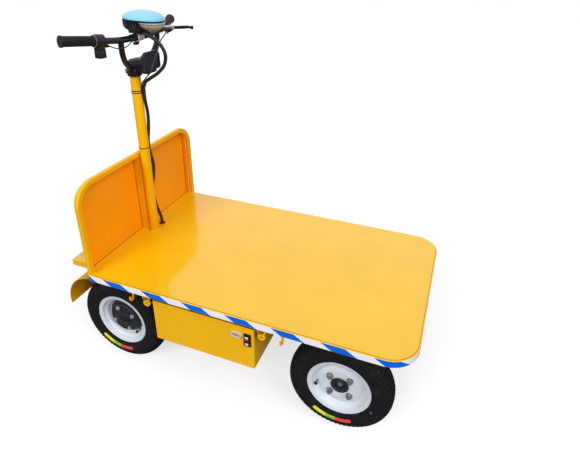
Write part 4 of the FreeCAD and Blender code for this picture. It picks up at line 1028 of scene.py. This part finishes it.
# the camera that was fitted to the photograph; the lens and sensor are in millimetres
LENS, SENSOR_WIDTH = 29.39586, 36.0
SHIFT_X, SHIFT_Y = 0.0174138, -0.1001724
CAMERA_PLACE = Vector((0.69605, -1.4521, 1.5647))
YAW, PITCH, ROLL = (math.radians(v) for v in (111.55, 25.26, -0.15))
camera_data = bpy.data.cameras.new("camera")
camera = bpy.data.objects.new("camera", camera_data)
scene.collection.objects.link(camera)
scene.camera = camera
ahead = Vector((math.cos(PITCH) * math.cos(YAW), math.cos(PITCH) * math.sin(YAW), -math.sin(PITCH)))
right = ahead.cross(UP).normalized()
up = right.cross(ahead)
right, up = (right * math.cos(ROLL) - up * math.sin(ROLL), up * math.cos(ROLL) + right * math.sin(ROLL))
camera.matrix_world = Matrix.Translation(CAMERA_PLACE) @ Matrix((right, up, -ahead)).transposed().to_4x4()
camera_data.sensor_width = SENSOR_WIDTH
camera_data.lens = LENS
camera_data.shift_x, camera_data.shift_y = SHIFT_X, SHIFT_Y
camera_data.clip_start, camera_data.clip_end = 0.05, 50

sun_lamp("key", (-0.4, -1.5, 1.0), 1.85, 30)
sun_lamp("front", (1.3, -0.6, 1.0), 1.6, 40)

# the studio lights from a glowing ceiling over nearly dark walls, and shows as plain white
world = bpy.data.worlds.new("studio")
scene.world = world
world.use_nodes = True
make, join = world.node_tree.nodes.new, world.node_tree.links.new
background = world.node_tree.nodes["Background"]
background.inputs["Color"].default_value = (0.97, 0.98, 1.0, 1)
way = make("ShaderNodeSeparateXYZ")
join(make("ShaderNodeTexCoord").outputs["Generated"], way.inputs[0])
glow = make("ShaderNodeMapRange")
for socket, number in (("From Min", 0.2), ("From Max", 0.5), ("To Min", 0.04), ("To Max", 0.52)):
    glow.inputs[socket].default_value = number
join(way.outputs[2], glow.inputs["Value"])
join(glow.outputs["Result"], background.inputs["Strength"])
rays = make("ShaderNodeLightPath").outputs
shows = rays["Is Camera Ray"]
for name in ("Is Glossy Ray", "Is Transmission Ray"):
    more = make("ShaderNodeMath")
    more.operation = "MAXIMUM"
    join(shows, more.inputs[0])
    join(rays[name], more.inputs[1])
    shows = more.outputs[0]
shown = make("ShaderNodeBackground")
shown.inputs["Color"].default_value = (1, 1, 1, 1)
shown.inputs["Strength"].default_value = 1.0
mix = make("ShaderNodeMixShader")
join(shows, mix.inputs[0])
join(background.outputs[0], mix.inputs[1])
join(shown.outputs[0], mix.inputs[2])
join(mix.outputs[0], world.node_tree.nodes["World Output"].inputs["Surface"])

# the floor is nearly white to the camera, and a dark grey to the light that it returns
FLOOR_HALF = 12
ground = Surface("floor_white", (0.2, 0.2, 0.2), 0.8, specular=0.1)
ground.tint(ground.ramp(ground.noise(1.5), 0.4, 0.6), (0.18, 0.18, 0.18))
both = ground.node("ShaderNodeAddShader")
ground.link(ground.node("ShaderNodeBsdfDiffuse", Color=(0.42, 0.42, 0.42, 1.0)).outputs[0], both.inputs[0])
ground.link(ground.node("ShaderNodeEmission", Strength=0.64).outputs[0], both.inputs[1])
choice = ground.node("ShaderNodeMixShader")
ground.link(ground.node("ShaderNodeLightPath").outputs["Is Camera Ray"], choice.inputs[0])
ground.link(ground.shader.outputs[0], choice.inputs[1])
ground.link(both.outputs[0], choice.inputs[2])
ground.link(choice.outputs[0], ground.tree.nodes["Material Output"].inputs["Surface"])
floor_mesh = bpy.data.meshes.new("floor")
floor_mesh.from_pydata([(x * FLOOR_HALF, y * FLOOR_HALF, 0) for x, y in SQUARE], [], [(0, 1, 2, 3)])
floor = bpy.data.objects.new("floor", floor_mesh)
scene.collection.objects.link(floor)
floor_mesh.materials.append(ground.material)

scene.view_settings.view_transform = "Standard"
